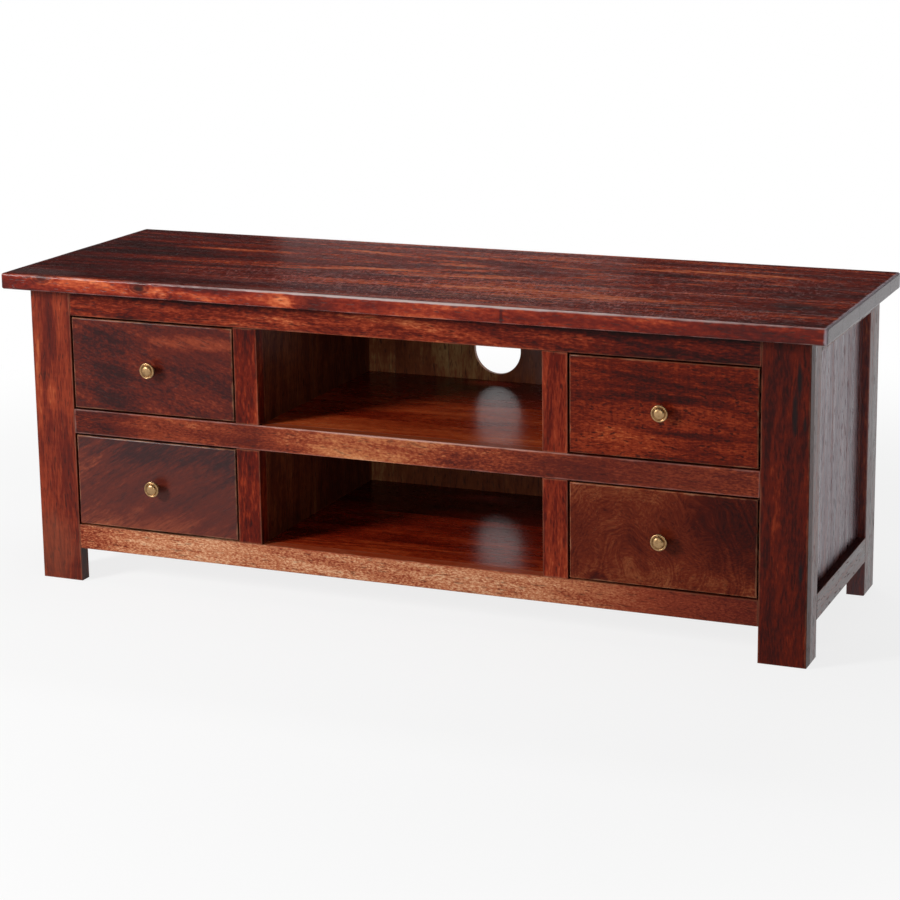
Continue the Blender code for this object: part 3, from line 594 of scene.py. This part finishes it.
faceFrame = {
    "stileLeft": {
        "grain": "z", "seed": 2, "tone": 0.48, "contrast": 1.05, "ior": 1.22, "dashes": (50, 360, 360),
        "pushes": onFront(-0.19, 0.02, (-0.612, 0.33, 0.008, 0.12, 0.13), (-0.585, 0.4, 0.01, 0.05, -0.1),
                          (-0.59, 0.3, 0.012, 0.03, 0.12), (-0.59, 0.08, 0.04, 0.07, 0.04),
                          (-0.57, 0.2, 0.012, 0.1, -0.1)),
        "stains": [((-0.6, -0.19, 0.05), (0.05, 0.03, 0.07), (0.15, 0.05, 0.028), 0.35),
                   *gapShadeLines((-0.55, 0.26, 0.0016, 0.6))]},
    "stileRight": {
        "grain": "z", "seed": 3, "tone": 0.36, "contrast": 1.3,
        "pushes": onFront(-0.19, 0.02, (0.572, 0.28, 0.01, 0.2, 0.08), (0.585, 0.12, 0.012, 0.08, 0.06),
                          (0.612, 0.25, 0.01, 0.07, 0.06)),
        "stains": onFront(-0.19, 0.02, (0.604, 0.412, 0.0045, 0.03, (0.01, 0.007, 0.007), 0.95),
                          (0.598, 0.362, 0.0045, 0.04, (0.012, 0.008, 0.008), 0.9),
                          (0.612, 0.352, 0.003, 0.014, (0.012, 0.008, 0.008), 0.85),
                          (0.61, 0.138, 0.0035, 0.02, (0.012, 0.008, 0.008), 0.95))},
    "railBottom": {
        "seed": 11, "tone": 0.61, "contrast": 1.4, "cast": (0.97, 1.25, 1.68), "wornTint": (0.2, 0.09, 0.05),
        "curls": 0.6, "curlSize": (240, 520, 520), "cloudShare": 0.15, "dashShare": 0.4,
        "dashes": (200, 600, 600), "waviness": 0.004, "pores": 0.45,
        "fall": ((-0.55, -0.02), (-0.43, 0.2), (-0.3, 0.2), (-0.14, 0.14), (0, 0.1), (0.14, 0.18),
                 (0.22, 0.17), (0.32, 0.06), (0.42, -0.06), (0.55, -0.17)),
        "calm": onFrame((0.47, 0.07, 0.26, 0.06, 0.55)),
        "stains": [*gapShadeLines((-0.41, 0.0933, 0.15, 0.0018), (0.41, 0.0933, 0.15, 0.0018)),
                   *redEdge(-0.178, 0.02, 0.0935, (0.3, 0.035, 0.008))]},
    "railMiddle": {
        # the pale pink tint of the rubbed arrises is partly wear and partly a painted highlight
        "seed": 11.6, "tone": 0.54, "contrast": 1.8, "cast": (1.0, 1.25, 1.4), "wornTint": (0.48, 0.24, 0.2),
        "ior": 1.2, "curls": 0.35, "curlSize": (170, 340, 340), "dashes": (150, 520, 520), "pores": 0.45,
        "fall": ((-0.55, -0.18), (-0.49, -0.24), (-0.42, 0), (-0.33, -0.05), (-0.24, -0.08), (-0.14, 0.1),
                 (-0.04, 0.18), (0.08, 0.04), (0.28, -0.1), (0.42, -0.09), (0.55, -0.05)),
        "calm": onFrame((0.36, 0.26, 0.2, 0.06, 0.5), (-0.25, 0.26, 0.08, 0.06, 0.4),
                        (-0.42, 0.26, 0.14, 0.06, 0.35), (-0.06, 0.26, 0.13, 0.06, 0.3)),
        "stains": [*gapShadeLines((-0.41, 0.2803, 0.15, 0.0018), (0.41, 0.2803, 0.15, 0.0018)),
                   *redEdge(-0.177, 0.018, 0.2805, (0.3, 0.05, 0.014)),
                   # painted highlight: a pale line along the upper front arris of the rail
                   ((0.01, -0.1894, 0.2798), (0.31, 0.0034, 0.0026), (0.5, 0.31, 0.26), 0.7)]},
    "railTop": {
        "seed": 8, "tone": 0.45, "contrast": 1.9, "cast": (1.0, 0.98, 1.05), "curls": 0.25,
        "dashes": (100, 400, 400),
        "fall": ((-0.55, -0.02), (-0.35, -0.08), (-0.2, -0.03), (-0.08, 0.11), (0.02, 0.12), (0.2, -0.03),
                 (0.32, -0.07), (0.4, -0.16), (0.55, -0.16)),
        # the dark band along the top of the rail is painted shade under the overhang of the top
        "pushes": onFrame((0, 0.468, 1.2, 0.01, -0.24), (-0.3, 0.436, 0.2, 0.008, 0.05))},
    "muntinLeft": {"grain": "z", "tone": 0.445, "contrast": 1.6, "cast": (1.0, 0.85, 0.85),
                   "fall": ((-0.11, -0.04), (0.02, 0.06), (0.11, -0.14))},
    "muntinRight": {"grain": "z", "tone": 0.51, "contrast": 1.5, "cast": (1.0, 0.85, 0.9),
                    "stains": gapShadeLines((0.267, 0.26, 0.0016, 0.6))},
}


def makeFaceFrame():
    for hand, side in hands.items():
        node = "face_stile_" + hand
        outer = [(alongZ, {alongX: side, alongY: -1}), (alongX, {alongY: -1, alongZ: -1})]
        inner = [(alongZ, {alongX: -side, alongY: -1})]
        makeFrameBoard("stile" + hand.title(), node, low[node], high[node], alongZ,
                       {"outerArris": outer, "innerArris": inner}, faceFrame["stile" + hand.title()])
    end = stileInner - buttGap
    for level in ("bottom", "middle", "top"):
        node = "face_rail_" + level
        corners = (-end, frameFront, low[node].z), (end, frameBack, high[node].z)
        makeFrameBoard("rail" + level.title(), node, *corners, alongX,
                       {"innerArris": [(alongX, {alongY: -1})]}, faceFrame["rail" + level.title()])
    for level, under, over in (("lower", "bottom", "middle"), ("upper", "middle", "top")):
        floor, ceiling = high["face_rail_" + under].z, low["face_rail_" + over].z
        for hand, side in hands.items():
            node = f"muntin_{level}_{hand}"
            corners = (low[node].x, frameFront, floor + buttGap), (high[node].x, frameBack, ceiling - buttGap)
            timber = {**faceFrame["muntin" + hand.title()], "seed": 8.0 + side + 2 * floor}
            makeFrameBoard("muntin" + level.title() + hand.title(), node, *corners, alongZ,
                           {"innerArris": [(alongZ, {alongY: -1})]}, timber)


makeFaceFrame()
print("face frame made")

sideFrames = {
    "timber": {"ior": 1.47, "tone": 0.45, "contrast": 2.0, "sheen": (1.0, 0.9, 0.98), "glossSpread": 0.36,
               "pores": 0.2, "clouds": (4, 80, 80), "relief": 0.9},
    "panelTimber": {"grain": "z", "planks": ("Y", 0.085, 0.3, 0.06), "ior": 1.93, "tone": 0.48,
                    "contrast": 1.9, "cast": (0.95, 1.5, 2.4), "wave": 0.8, "sheen": (0.92, 0.81, 1.0),
                    "glossSpread": 0.6, "pores": 0.2, "clouds": (3, 80, 80), "relief": 1.0},
    "panelSlices": {alongZ: 0.06, alongY: 0.04}, "panelHollows": {"depth": 0.0003, "size": 0.1},
}


def makeSide(hand, side):
    timber = sideFrames["timber"]
    node = "front_leg_" + hand
    nearX, farX = low[node].x, high[node].x
    makeFrameBoard("frontLeg" + hand.title(), node, low[node], high[node], alongZ,
                   {"outerArris": [(alongX, {alongY: 1, alongZ: -1}), (alongZ, {alongY: 1})]},
                   {**timber, "grain": "z", "seed": 11.0 + side * 0.6})

    # the back leg is rebated for the back panel
    node = "back_leg_" + hand
    ends = sorted((side * (sideInner - overrun), side * (high["back_panel"].x + housingGap)))
    rebate = ((ends[0], panelFront - housingGap, low["side_rail_bottom_left"].z - housingGap),
              (ends[1], high[node].y + overrun, frameTop + overrun))
    makeFrameBoard("backLeg" + hand.title(), node, low[node], high[node], alongZ,
                   {"outerArris": [(alongZ, {alongX: side}), (alongY, {alongX: side, alongZ: -1})]},
                   {**timber, "grain": "z", "seed": 12.3 + side}, rebate)

    for level, sides, seed in (("bottom", {alongX: side}, 19), ("top", {alongX: side, alongZ: -1}, 16)):
        node = f"side_rail_{level}_{hand}"
        makeFrameBoard("sideRail" + level.title() + hand.title(), node,
                       (nearX, high["front_leg_left"].y + buttGap, low[node].z),
                       (farX, low["back_leg_left"].y - buttGap, high[node].z), alongY,
                       {"innerArris": [(alongY, sides)]}, {**timber, "grain": "y", "seed": seed + side})

    node = "side_panel_" + hand
    panel = startBoard("sidePanel" + hand.title(), low[node], high[node])
    for axis, spacing in sideFrames["panelSlices"].items():
        sliceBoard(panel, axis, spacing)
    hollowFace(panel, alongX, side, sideFrames["panelHollows"])
    timber = {**sideFrames["panelTimber"], "seed": 15.0 + side}
    finishBoard(panel, node, timber, low[node], high[node])


for hand, side in hands.items():
    makeSide(hand, side)
print("sides made")

niches = {
    "slice": 0.05, "hollows": {"depth": 0.0003, "size": 0.12}, "boardPlay": 0.0005,
    "shelfTimber": {"planks": ("Y", 0.22, -2.117, 0.08), "gloss": 0.25, "glossSpread": 0.05, "worn": 0.0,
                    "ior": 1.3, "relief": 0.12, "wave": 0.1, "streaks": (2, 40, 40), "streakShare": 0.4,
                    "pores": 0.3, "contrast": 1.5, "cast": (1.0, 0.5, 0.32)},
    "wallTimber": {"grain": "z", "planks": ("Y", 0.105, 0.2, 0.06), "worn": 0.1, "tone": 0.52,
                   "contrast": 1.1, "cast": (0.95, 1.9, 1.9)},
    "backTimber": {"grain": "z", "seed": 25, "planks": ("Z", 0.095, 0.1, 0.08), "worn": 0.0, "tone": 0.61,
                   "ior": 1.3, "contrast": 0.8, "cast": (0.95, 1.95, 2.2),
                   "bare": ("Y", (0.72, 0.42, 0.3), 0.9),
                   "pushes": onFront(0.21, 0.03, (-0.05, 0.32, 0.08, 0.07, 0.13),
                                     (-0.24, 0.35, 0.1, 0.06, -0.05)),
                   # painted reflection: a paler grey patch to the right of the upper hole
                   "stains": onFront(0.21, 0.03, (0.11, 0.33, 0.08, 0.09, (0.2, 0.115, 0.1), 0.7))},
}


def makeNiches():
    for name, node, end, seed, tone in (
            ("nicheShelf", "niche_shelf", high["niche_shelf"].x, 31, 0.63),
            ("bottomBoard", "bottom_board", sideInner - niches["boardPlay"], 32, 0.47)):
        level = high[node].z
        near, far = (-end, frameBack, low[node].z), (end, panelFront - housingGap, level)
        board = startBoard(name, near, far)
        for axis in (alongX, alongY):
            sliceBoard(board, axis, niches["slice"])
        hollowFace(board, alongZ, 1, niches["hollows"])
        # painted shade towards the back of the niche floor, and painted light at its front
        pushes = onTop(level, 0.05, (0, 0.17, 0.6, 0.085, -0.1), (0, -0.14, 0.6, 0.05, 0.06))
        timber = {**niches["shelfTimber"], "seed": seed, "pushes": pushes, "tone": tone}
        finishBoard(board, node, timber, near, far)

    for hand, side in hands.items():
        node = "partition_" + hand
        wall = startBoard("partition" + hand.title(), low[node], high[node])
        # the back rail runs through the top corner
        rail = low["back_rail"]
        carve(wall, startBoard("railNotch", (low[node].x - overrun, rail.y - housingGap, rail.z - housingGap),
                               (high[node].x + overrun, panelFront + overrun, frameTop + overrun)))
        sliceBoard(wall, alongZ, niches["slice"])
        timber = {**niches["wallTimber"], "seed": 23.0 + side}
        finishBoard(wall, node, timber, low[node], high[node])


cableHole = {"diameter": 0.08, "rise": 0.051, "sides": 96, "rim": 0.0008, "rimSteps": 2, "cutter": 0.05}


def makeBack():
    node = "back_panel"
    panel = startBoard("backPanel", low[node], high[node])
    middle = (low[node].y + high[node].y) / 2
    radius = cableHole["diameter"] / 2
    for height in (high["niche_shelf"].z + cableHole["rise"], low["face_rail_middle"].z - cableHole["rise"]):
        pickNothing()
        bpy.ops.mesh.primitive_cylinder_add(
            vertices=cableHole["sides"], radius=radius, depth=cableHole["cutter"],
            location=(0, middle, height), rotation=(pi / 2, 0, 0))
        carve(panel, bpy.context.object)

        # softens both rims of the hole
        def isRim(edge):
            a, b = (vertex.co - Vector((0, middle, height)) for vertex in edge.verts)
            onRim = all(abs(Vector((end.x, end.z)).length - radius) < 10 * sameSpot for end in (a, b))
            return onRim and abs(a.y - b.y) < sameSpot

        pickParts(panel, "EDGE", isRim)
        bpy.ops.mesh.bevel(offset=cableHole["rim"], segments=cableHole["rimSteps"], affect="EDGES")
        closePiece()
    timber = stainedTimber("backTimber", niches["backTimber"], low[node], high[node])
    finishPiece(panel, "cabinet", [node], timber)


makeNiches()
makeBack()
print("niches and back made")

drawerFront = {
    "arris": 0.0026, "steps": 5, "slice": 0.035, "play": 0.0004, "socketSpread": 1.004,
    # the rubbed arrises of the fronts are paler partly from wear and partly from a painted highlight
    "wear": frameWork["wear"], "rubbed": {"worn": 0.45, "wornTint": (0.5, 0.24, 0.13)},
    "stainDepth": 0.012, "stainReach": 0.014, "stainWidth": 0.0018,
    "timbers": {
        "upper_left": {
            "lean": (0, -14, 0), "seed": 31, "tone": 0.39, "contrast": 1.3, "cast": (0.92, 1.12, 1.3),
            "ior": 1.23, "pores": 0.4, "ringShare": 0.14, "streakShare": 0.2,
            "dashes": (150, 300, 300), "dashShare": 0.34,
            "calm": onFrame((-0.33, 0.395, 0.11, 0.035, 0.45)),
            "pushes": onFrame((-0.33, 0.398, 0.085, 0.014, 0.17), (-0.32, 0.308, 0.08, 0.016, 0.03),
                              (-0.48, 0.33, 0.05, 0.05, -0.1), (-0.42, 0.38, 0.06, 0.03, 0.05),
                              (-0.49, 0.39, 0.07, 0.03, -0.12), (-0.48, 0.3, 0.06, 0.02, -0.06))},
        "lower_left": {
            "lean": (0, 33, 0), "seed": 33, "tone": 0.4, "contrast": 1.3, "cast": (0.9, 1.35, 1.7),
            "ior": 1.32, "pores": 0.3, "ringShare": 0.22, "streaks": (5, 75, 75), "streakShare": 0.28,
            "calm": onFrame((-0.37, 0.14, 0.2, 0.09, 0.5)),
            "fall": ((-0.135, 0.05), (0, 0), (0.135, -0.03)),
            "pushes": onFrame((-0.4, 0.235, 0.25, 0.045, -0.09), (-0.42, 0.078, 0.28, 0.058, 0.11))},
        "upper_right": {
            "seed": 35, "contrast": 1.35, "cast": (1.0, 0.92, 0.8), "pores": 0.8, "poreSize": (110, 280, 280),
            "streaks": (6, 110, 110), "streakShare": 0.2, "dashes": (140, 420, 420), "dashShare": 0.34,
            "cloudShare": 0.2, "ripples": (230, 22, 22), "rippleDepth": 0.07,
            "pushes": onFrame((0.4, 0.372, 0.16, 0.008, -0.12), (0.47, 0.322, 0.1, 0.006, -0.14),
                              (0.36, 0.4, 0.06, 0.012, -0.06), (0.33, 0.305, 0.12, 0.025, 0.09),
                              (0.45, 0.395, 0.11, 0.03, -0.1))},
        "lower_right": {
            "grain": "y", "seed": 37, "tone": 0.545, "contrast": 1.3, "cast": (0.92, 1.0, 1.05),
            "pores": 0.35, "rings": 170, "ringShare": 0.24, "pith": (0.035, -0.045), "taper": 0,
            "waviness": 0.03, "wavesPerMetre": (6, 12, 9), "streaks": (9, 20, 24), "streakShare": 0.2,
            "dashes": (300, 200, 320), "dashShare": 0.34, "clouds": (10, 22, 30),
            "calm": onFrame((0.37, 0.17, 0.2, 0.12, 0.3)),
            "pushes": onFrame((0.33, 0.165, 0.05, 0.05, 0.04), (0.31, 0.245, 0.17, 0.055, 0.09),
                              (0.31, 0.1, 0.02, 0.012, -0.18), (0.39, 0.078, 0.26, 0.058, 0.11),
                              (0.54, 0.205, 0.11, 0.085, -0.15))},
    },
}


def makeDrawerFronts():
    play = Vector((drawerFront["play"], 0, drawerFront["play"]))
    for place, timber in drawerFront["timbers"].items():
        node = f"drawer_{place}_front"
        name = "drawerFront" + place.title().replace("_", "")
        front = startBoard(name, low[node] + play, high[node] - play)
        arrises = [(alongX, {alongY: -1}), (alongZ, {alongY: -1})]
        easeArrises(front, arrises, drawerFront["arris"], drawerFront["steps"])
        # sockets for the dovetails of both sides
        middle = (low[node] + high[node]) / 2
        for hand in hands:
            tails = copyOfSolid(f"drawer_{place}_side_{hand}", "tails")
            openPiece(tails)
            bpy.ops.transform.resize(value=(drawerFront["socketSpread"], 1, 1), center_override=middle)
            closePiece()
            carve(front, tails)
        for axis in (alongX, alongZ):
            sliceBoard(front, axis, drawerFront["slice"])
        wearArrises(front, drawerFront["wear"])
        # painted shade on the top and right faces inside the gaps
        width = drawerFront["stainWidth"]
        stains = onFront(low[node].y + drawerFront["stainDepth"], drawerFront["stainReach"],
                         (middle.x, high[node].z, 0.6, width, gapShadeTint, 0.9),
                         (high[node].x, middle.z, width, 0.6, gapShadeTint, 0.9))
        timber = {**drawerFront["rubbed"], **timber, "stains": stains}
        finishBoard(front, node, timber, low[node], high[node], "drawer_" + place)


makeDrawerFronts()
print("drawer fronts made")

drawerBoxes = {
    "tones": ((0.3, (0.2, 0.09, 0.04)), (0.5, (0.3, 0.15, 0.07)), (0.7, (0.4, 0.22, 0.11))),
    "bottomTones": ((0.3, (0.28, 0.15, 0.07)), (0.5, (0.36, 0.21, 0.11)), (0.7, (0.44, 0.28, 0.16))),
    "timber": {"worn": 0.0, "gloss": 0.55, "pores": 0.25, "contrast": 0.9, "tone": 0.5, "ior": 1.4},
    "patternCentre": (0, 0, 0.25),
}


# The solids that keep their shapes: the drawer boxes, and the battens that the drawers run on
def dressSolids():
    boxTimber = {**drawerBoxes["timber"], "tones": drawerBoxes["tones"]}
    wayTimber = {**niches["wallTimber"], "planks": None, "worn": 0.0, "grain": "y", "seed": 47}
    made = {}
    for name, timber in (("drawerSide", {**boxTimber, "grain": "y", "seed": 41}),
                         ("drawerBack", {**boxTimber, "seed": 43}),
                         ("drawerBottom", {**boxTimber, "tones": drawerBoxes["bottomTones"], "seed": 45}),
                         ("runner", wayTimber), ("backRail", {"worn": 0.0, "seed": 49})):
        made[name] = stainedTimber(name + "Timber", timber, *[drawerBoxes["patternCentre"]] * 2)
    for name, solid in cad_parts.items():
        words = name.split("_")
        if words[0] == "drawer" and words[3] in ("side", "back", "bottom"):
            timber = made["drawer" + words[3].title()]
        elif words[0] in ("runner", "guide", "kicker"):
            timber = made["runner"]
        elif name == "back_rail":
            timber = made["backRail"]
        else:
            continue
        solid.data.materials.clear()
        solid.data.materials.append(timber)


dressSolids()
print("drawer boxes and runners dressed")

knobShape = {
    "sides": 64, "crown": 19.6, "smoothAngle": 50,
    # radius and distance in front of the drawer in mm, from the foot on the wood to the middle of the dome
    "line": ((4.8, 0), (5, 0.5), (4.9, 1.1), (4.5, 1.8), (4.1, 2.8), (3.9, 4.6), (3.9, 6.6), (4.2, 8.6),
             (5.1, 10.4), (7.2, 11.8), (9.8, 12.8), (11.6, 13.7), (12.35, 14.6), (12.5, 15.3), (12.35, 16),
             (11.9, 16.55), (11.2, 16.9), (10.5, 16.9), (9.9, 16.55), (9.55, 16), (9.35, 15.75), (9.05, 15.7),
             (8.7, 15.95), (8.35, 16.8), (7.8, 17.65), (7, 18.35), (6, 18.85), (4.8, 19.2), (3.4, 19.42),
             (1.8, 19.52)),
    "brass": (0.41, 0.252, 0.122), "gloss": 0.31, "relief": 0.25, "reliefDepth": 0.0002,
    "tarnish": (0.13, 0.07, 0.03), "tarnishShare": 0.6, "tarnishSpan": (0.42, 0.72), "tarnishGloss": 0.16,
    "patches": (170,) * 3, "grime": (900,) * 3, "grimeShare": 0.35,
}


def agedBrass():
    material = bpy.data.materials.new("agedBrass")
    tree = startTree(material)
    where = addNode(tree, "TexCoord").outputs["Object"]
    patches = fade(tree, grainNoise(tree, where, knobShape["patches"], 4, 0.6), *knobShape["tarnishSpan"])
    grime = grainNoise(tree, where, knobShape["grime"], 2, 0.5)
    tarnish = reckon(tree, "MULTIPLY_ADD", grime, knobShape["grimeShare"], patches, clamp=True)
    share = reckon(tree, "MULTIPLY", tarnish, knobShape["tarnishShare"])
    colour = blend(tree, share, tint(knobShape["brass"]), tint(knobShape["tarnish"]))
    gloss = reckon(tree, "MULTIPLY_ADD", tarnish, knobShape["tarnishGloss"], knobShape["gloss"])
    relief = bump(tree, knobShape["relief"], knobShape["reliefDepth"], grime)
    feeds = {"Base Color": colour, "Metallic": 1.0, "Roughness": gloss, "Normal": relief}
    shader = addNode(tree, "BsdfPrincipled", feeds)
    addNode(tree, "OutputMaterial", {"Surface": shader.outputs[0]})
    return material


# A ring is drawn out along the line, one step at a time, and closed at the crown
def turnKnob():
    pickNothing()
    line = [(radius / 1000, place / 1000) for radius, place in knobShape["line"]]
    bpy.ops.mesh.primitive_circle_add(
        vertices=knobShape["sides"], radius=line[0][0], fill_type="NGON", rotation=(pi / 2, 0, 0))
    knob = bpy.context.object
    bpy.ops.object.transform_apply(location=True, rotation=True, scale=True)
    openPiece(knob)
    for (lastRadius, lastPlace), (radius, place) in zip(line, line[1:]):
        bpy.ops.mesh.extrude_region_move(TRANSFORM_OT_translate={"value": (0, lastPlace - place, 0)})
        grow = radius / lastRadius
        bpy.ops.transform.resize(value=(grow, 1, grow), center_override=(0, -place, 0))
    last = line[-1][1] - knobShape["crown"] / 1000
    bpy.ops.mesh.extrude_region_move(TRANSFORM_OT_translate={"value": (0, last, 0)})
    bpy.ops.mesh.merge(type="CENTER")
    bpy.ops.mesh.select_all(action="SELECT")
    bpy.ops.mesh.remove_doubles(threshold=1e-6)
    bpy.ops.mesh.normals_make_consistent(inside=False)
    closePiece()
    return knob


def makeKnobs():
    pattern = turnKnob()
    brass = agedBrass()
    for place in drawerFront["timbers"]:
        node = f"drawer_{place}_knob"
        knob = pattern.copy()
        knob.data = pattern.data.copy()
        knob.name = knob.data.name = "knob" + place.title().replace("_", "")
        putInScene(knob)
        centre = (low[node] + high[node]) / 2
        knob.data.transform(Matrix.Translation((centre.x, low[f"drawer_{place}_front"].y, centre.z)))
        finishPiece(knob, "drawer_" + place, [node], brass, knobShape["smoothAngle"])
    bpy.data.objects.remove(pattern, do_unlink=True)


makeKnobs()
print("knobs made")

studio = {
    "floorSize": 120, "floorDrop": 0.0005, "floorTint": (0.8, 0.8, 0.8),
    "floorWhite": (0.82, 1.0), "floorFade": (0.8, 1.9),     # share of plain white near and far, and where
    "sky": ((0, 1.0), (0.03, 0.5), (0.06, 0.12), (0.09, 0.02), (1, 0.02)),     # height and brightness
    # place, aim, width, height, power
    "lamps": {"key": ((-2.0, -2.4, 1.5), (-0.1, 0, 0.25), 0.7, 0.7, 96),
              "front": ((0.7, -3.4, 1.05), (0.05, 0, 0.25), 1.4, 1.0, 20),
              "overhead": ((-0.1, -0.2, 2.7), (0.1, 0, 0.4), 2.0, 0.5, 10),
              "behind": ((0.1, 1.2, 2.2), (0.05, 0.2, 0.35), 1.4, 0.3, 15),
              "card": ((-0.42, 1.05, 0.4), (-0.1, 0.2, 0.36), 0.7, 0.36, 0.66)},
}


def makeFloor():
    pickNothing()
    bpy.ops.mesh.primitive_plane_add(size=studio["floorSize"], location=(0, 0, -studio["floorDrop"]))
    floor = bpy.context.object
    floor.name = "floor"
    material = bpy.data.materials.new("paleFloor")
    tree = startTree(material)
    rays = addNode(tree, "LightPath").outputs
    mirrored = reckon(tree, "MAXIMUM", rays["Is Glossy Ray"], rays["Is Transmission Ray"])
    seen = reckon(tree, "MAXIMUM", rays["Is Camera Ray"], mirrored)
    (nearWhite, farWhite), (fadeStart, fadeEnd) = studio["floorWhite"], studio["floorFade"]
    away = reckonVector(tree, "LENGTH", addNode(tree, "TexCoord").outputs["Object"])
    feeds = {"Value": away, "From Min": fadeStart, "From Max": fadeEnd,
             "To Min": nearWhite, "To Max": farWhite}
    share = addNode(tree, "MapRange", feeds, interpolation_type="SMOOTHSTEP").outputs["Result"]
    matt = addNode(tree, "BsdfDiffuse", {"Color": tint(studio["floorTint"])}).outputs[0]
    white = addNode(tree, "Emission", {"Color": tint((1, 1, 1)), "Strength": 1.0}).outputs[0]
    mixed = addNode(tree, "MixShader", {0: reckon(tree, "MULTIPLY", seen, share), 1: matt, 2: white})
    addNode(tree, "OutputMaterial", {"Surface": mixed.outputs[0]})
    floor.data.materials.append(material)


def makeLight():
    world = bpy.data.worlds.new("room")
    bpy.context.scene.world = world
    tree = startTree(world)
    height = partsOf(tree, addNode(tree, "TexCoord").outputs["Generated"])["Z"]
    around = toneRamp(tree, height, [(place, (level,) * 3) for place, level in studio["sky"]])
    sky = addNode(tree, "Background", {"Color": around, "Strength": 1.0})
    addNode(tree, "OutputWorld", {"Surface": sky.outputs[0]})

    for name, (place, aim, width, height, power) in studio["lamps"].items():
        lamp = bpy.data.objects.new(name, bpy.data.lights.new(name, "AREA"))
        lamp.data.shape = "RECTANGLE"
        lamp.data.size, lamp.data.size_y, lamp.data.energy = width, height, power
        lamp.location = place
        lamp.visible_camera = False
        lamp.rotation_euler = (Vector(aim) - Vector(place)).to_track_quat("-Z", "Y").to_euler()
        putInScene(lamp)
    bpy.context.scene.view_settings.view_transform = "Standard"


shot = {"place": (1.4072, -3.3203, 1.1481), "turn": 22.871, "dip": 12.114, "roll": -0.754,
        "lens": 96.18, "sensor": 36, "shift": -0.1111}


def makeCamera():
    camera = bpy.data.objects.new("camera", bpy.data.cameras.new("camera"))
    camera.data.sensor_width, camera.data.lens = shot["sensor"], shot["lens"]
    camera.data.shift_y = shot["shift"]
    camera.location = shot["place"]
    pose = Matrix.Identity(3)
    for axis, angle in (("Z", shot["turn"]), ("X", 90 - shot["dip"]), ("Z", shot["roll"])):
        pose = pose @ Matrix.Rotation(radians(angle), 3, axis)
    camera.rotation_euler = pose.to_euler()
    putInScene(camera)
    bpy.context.scene.camera = camera


makeFloor()
makeLight()
makeCamera()
print("studio and camera set")
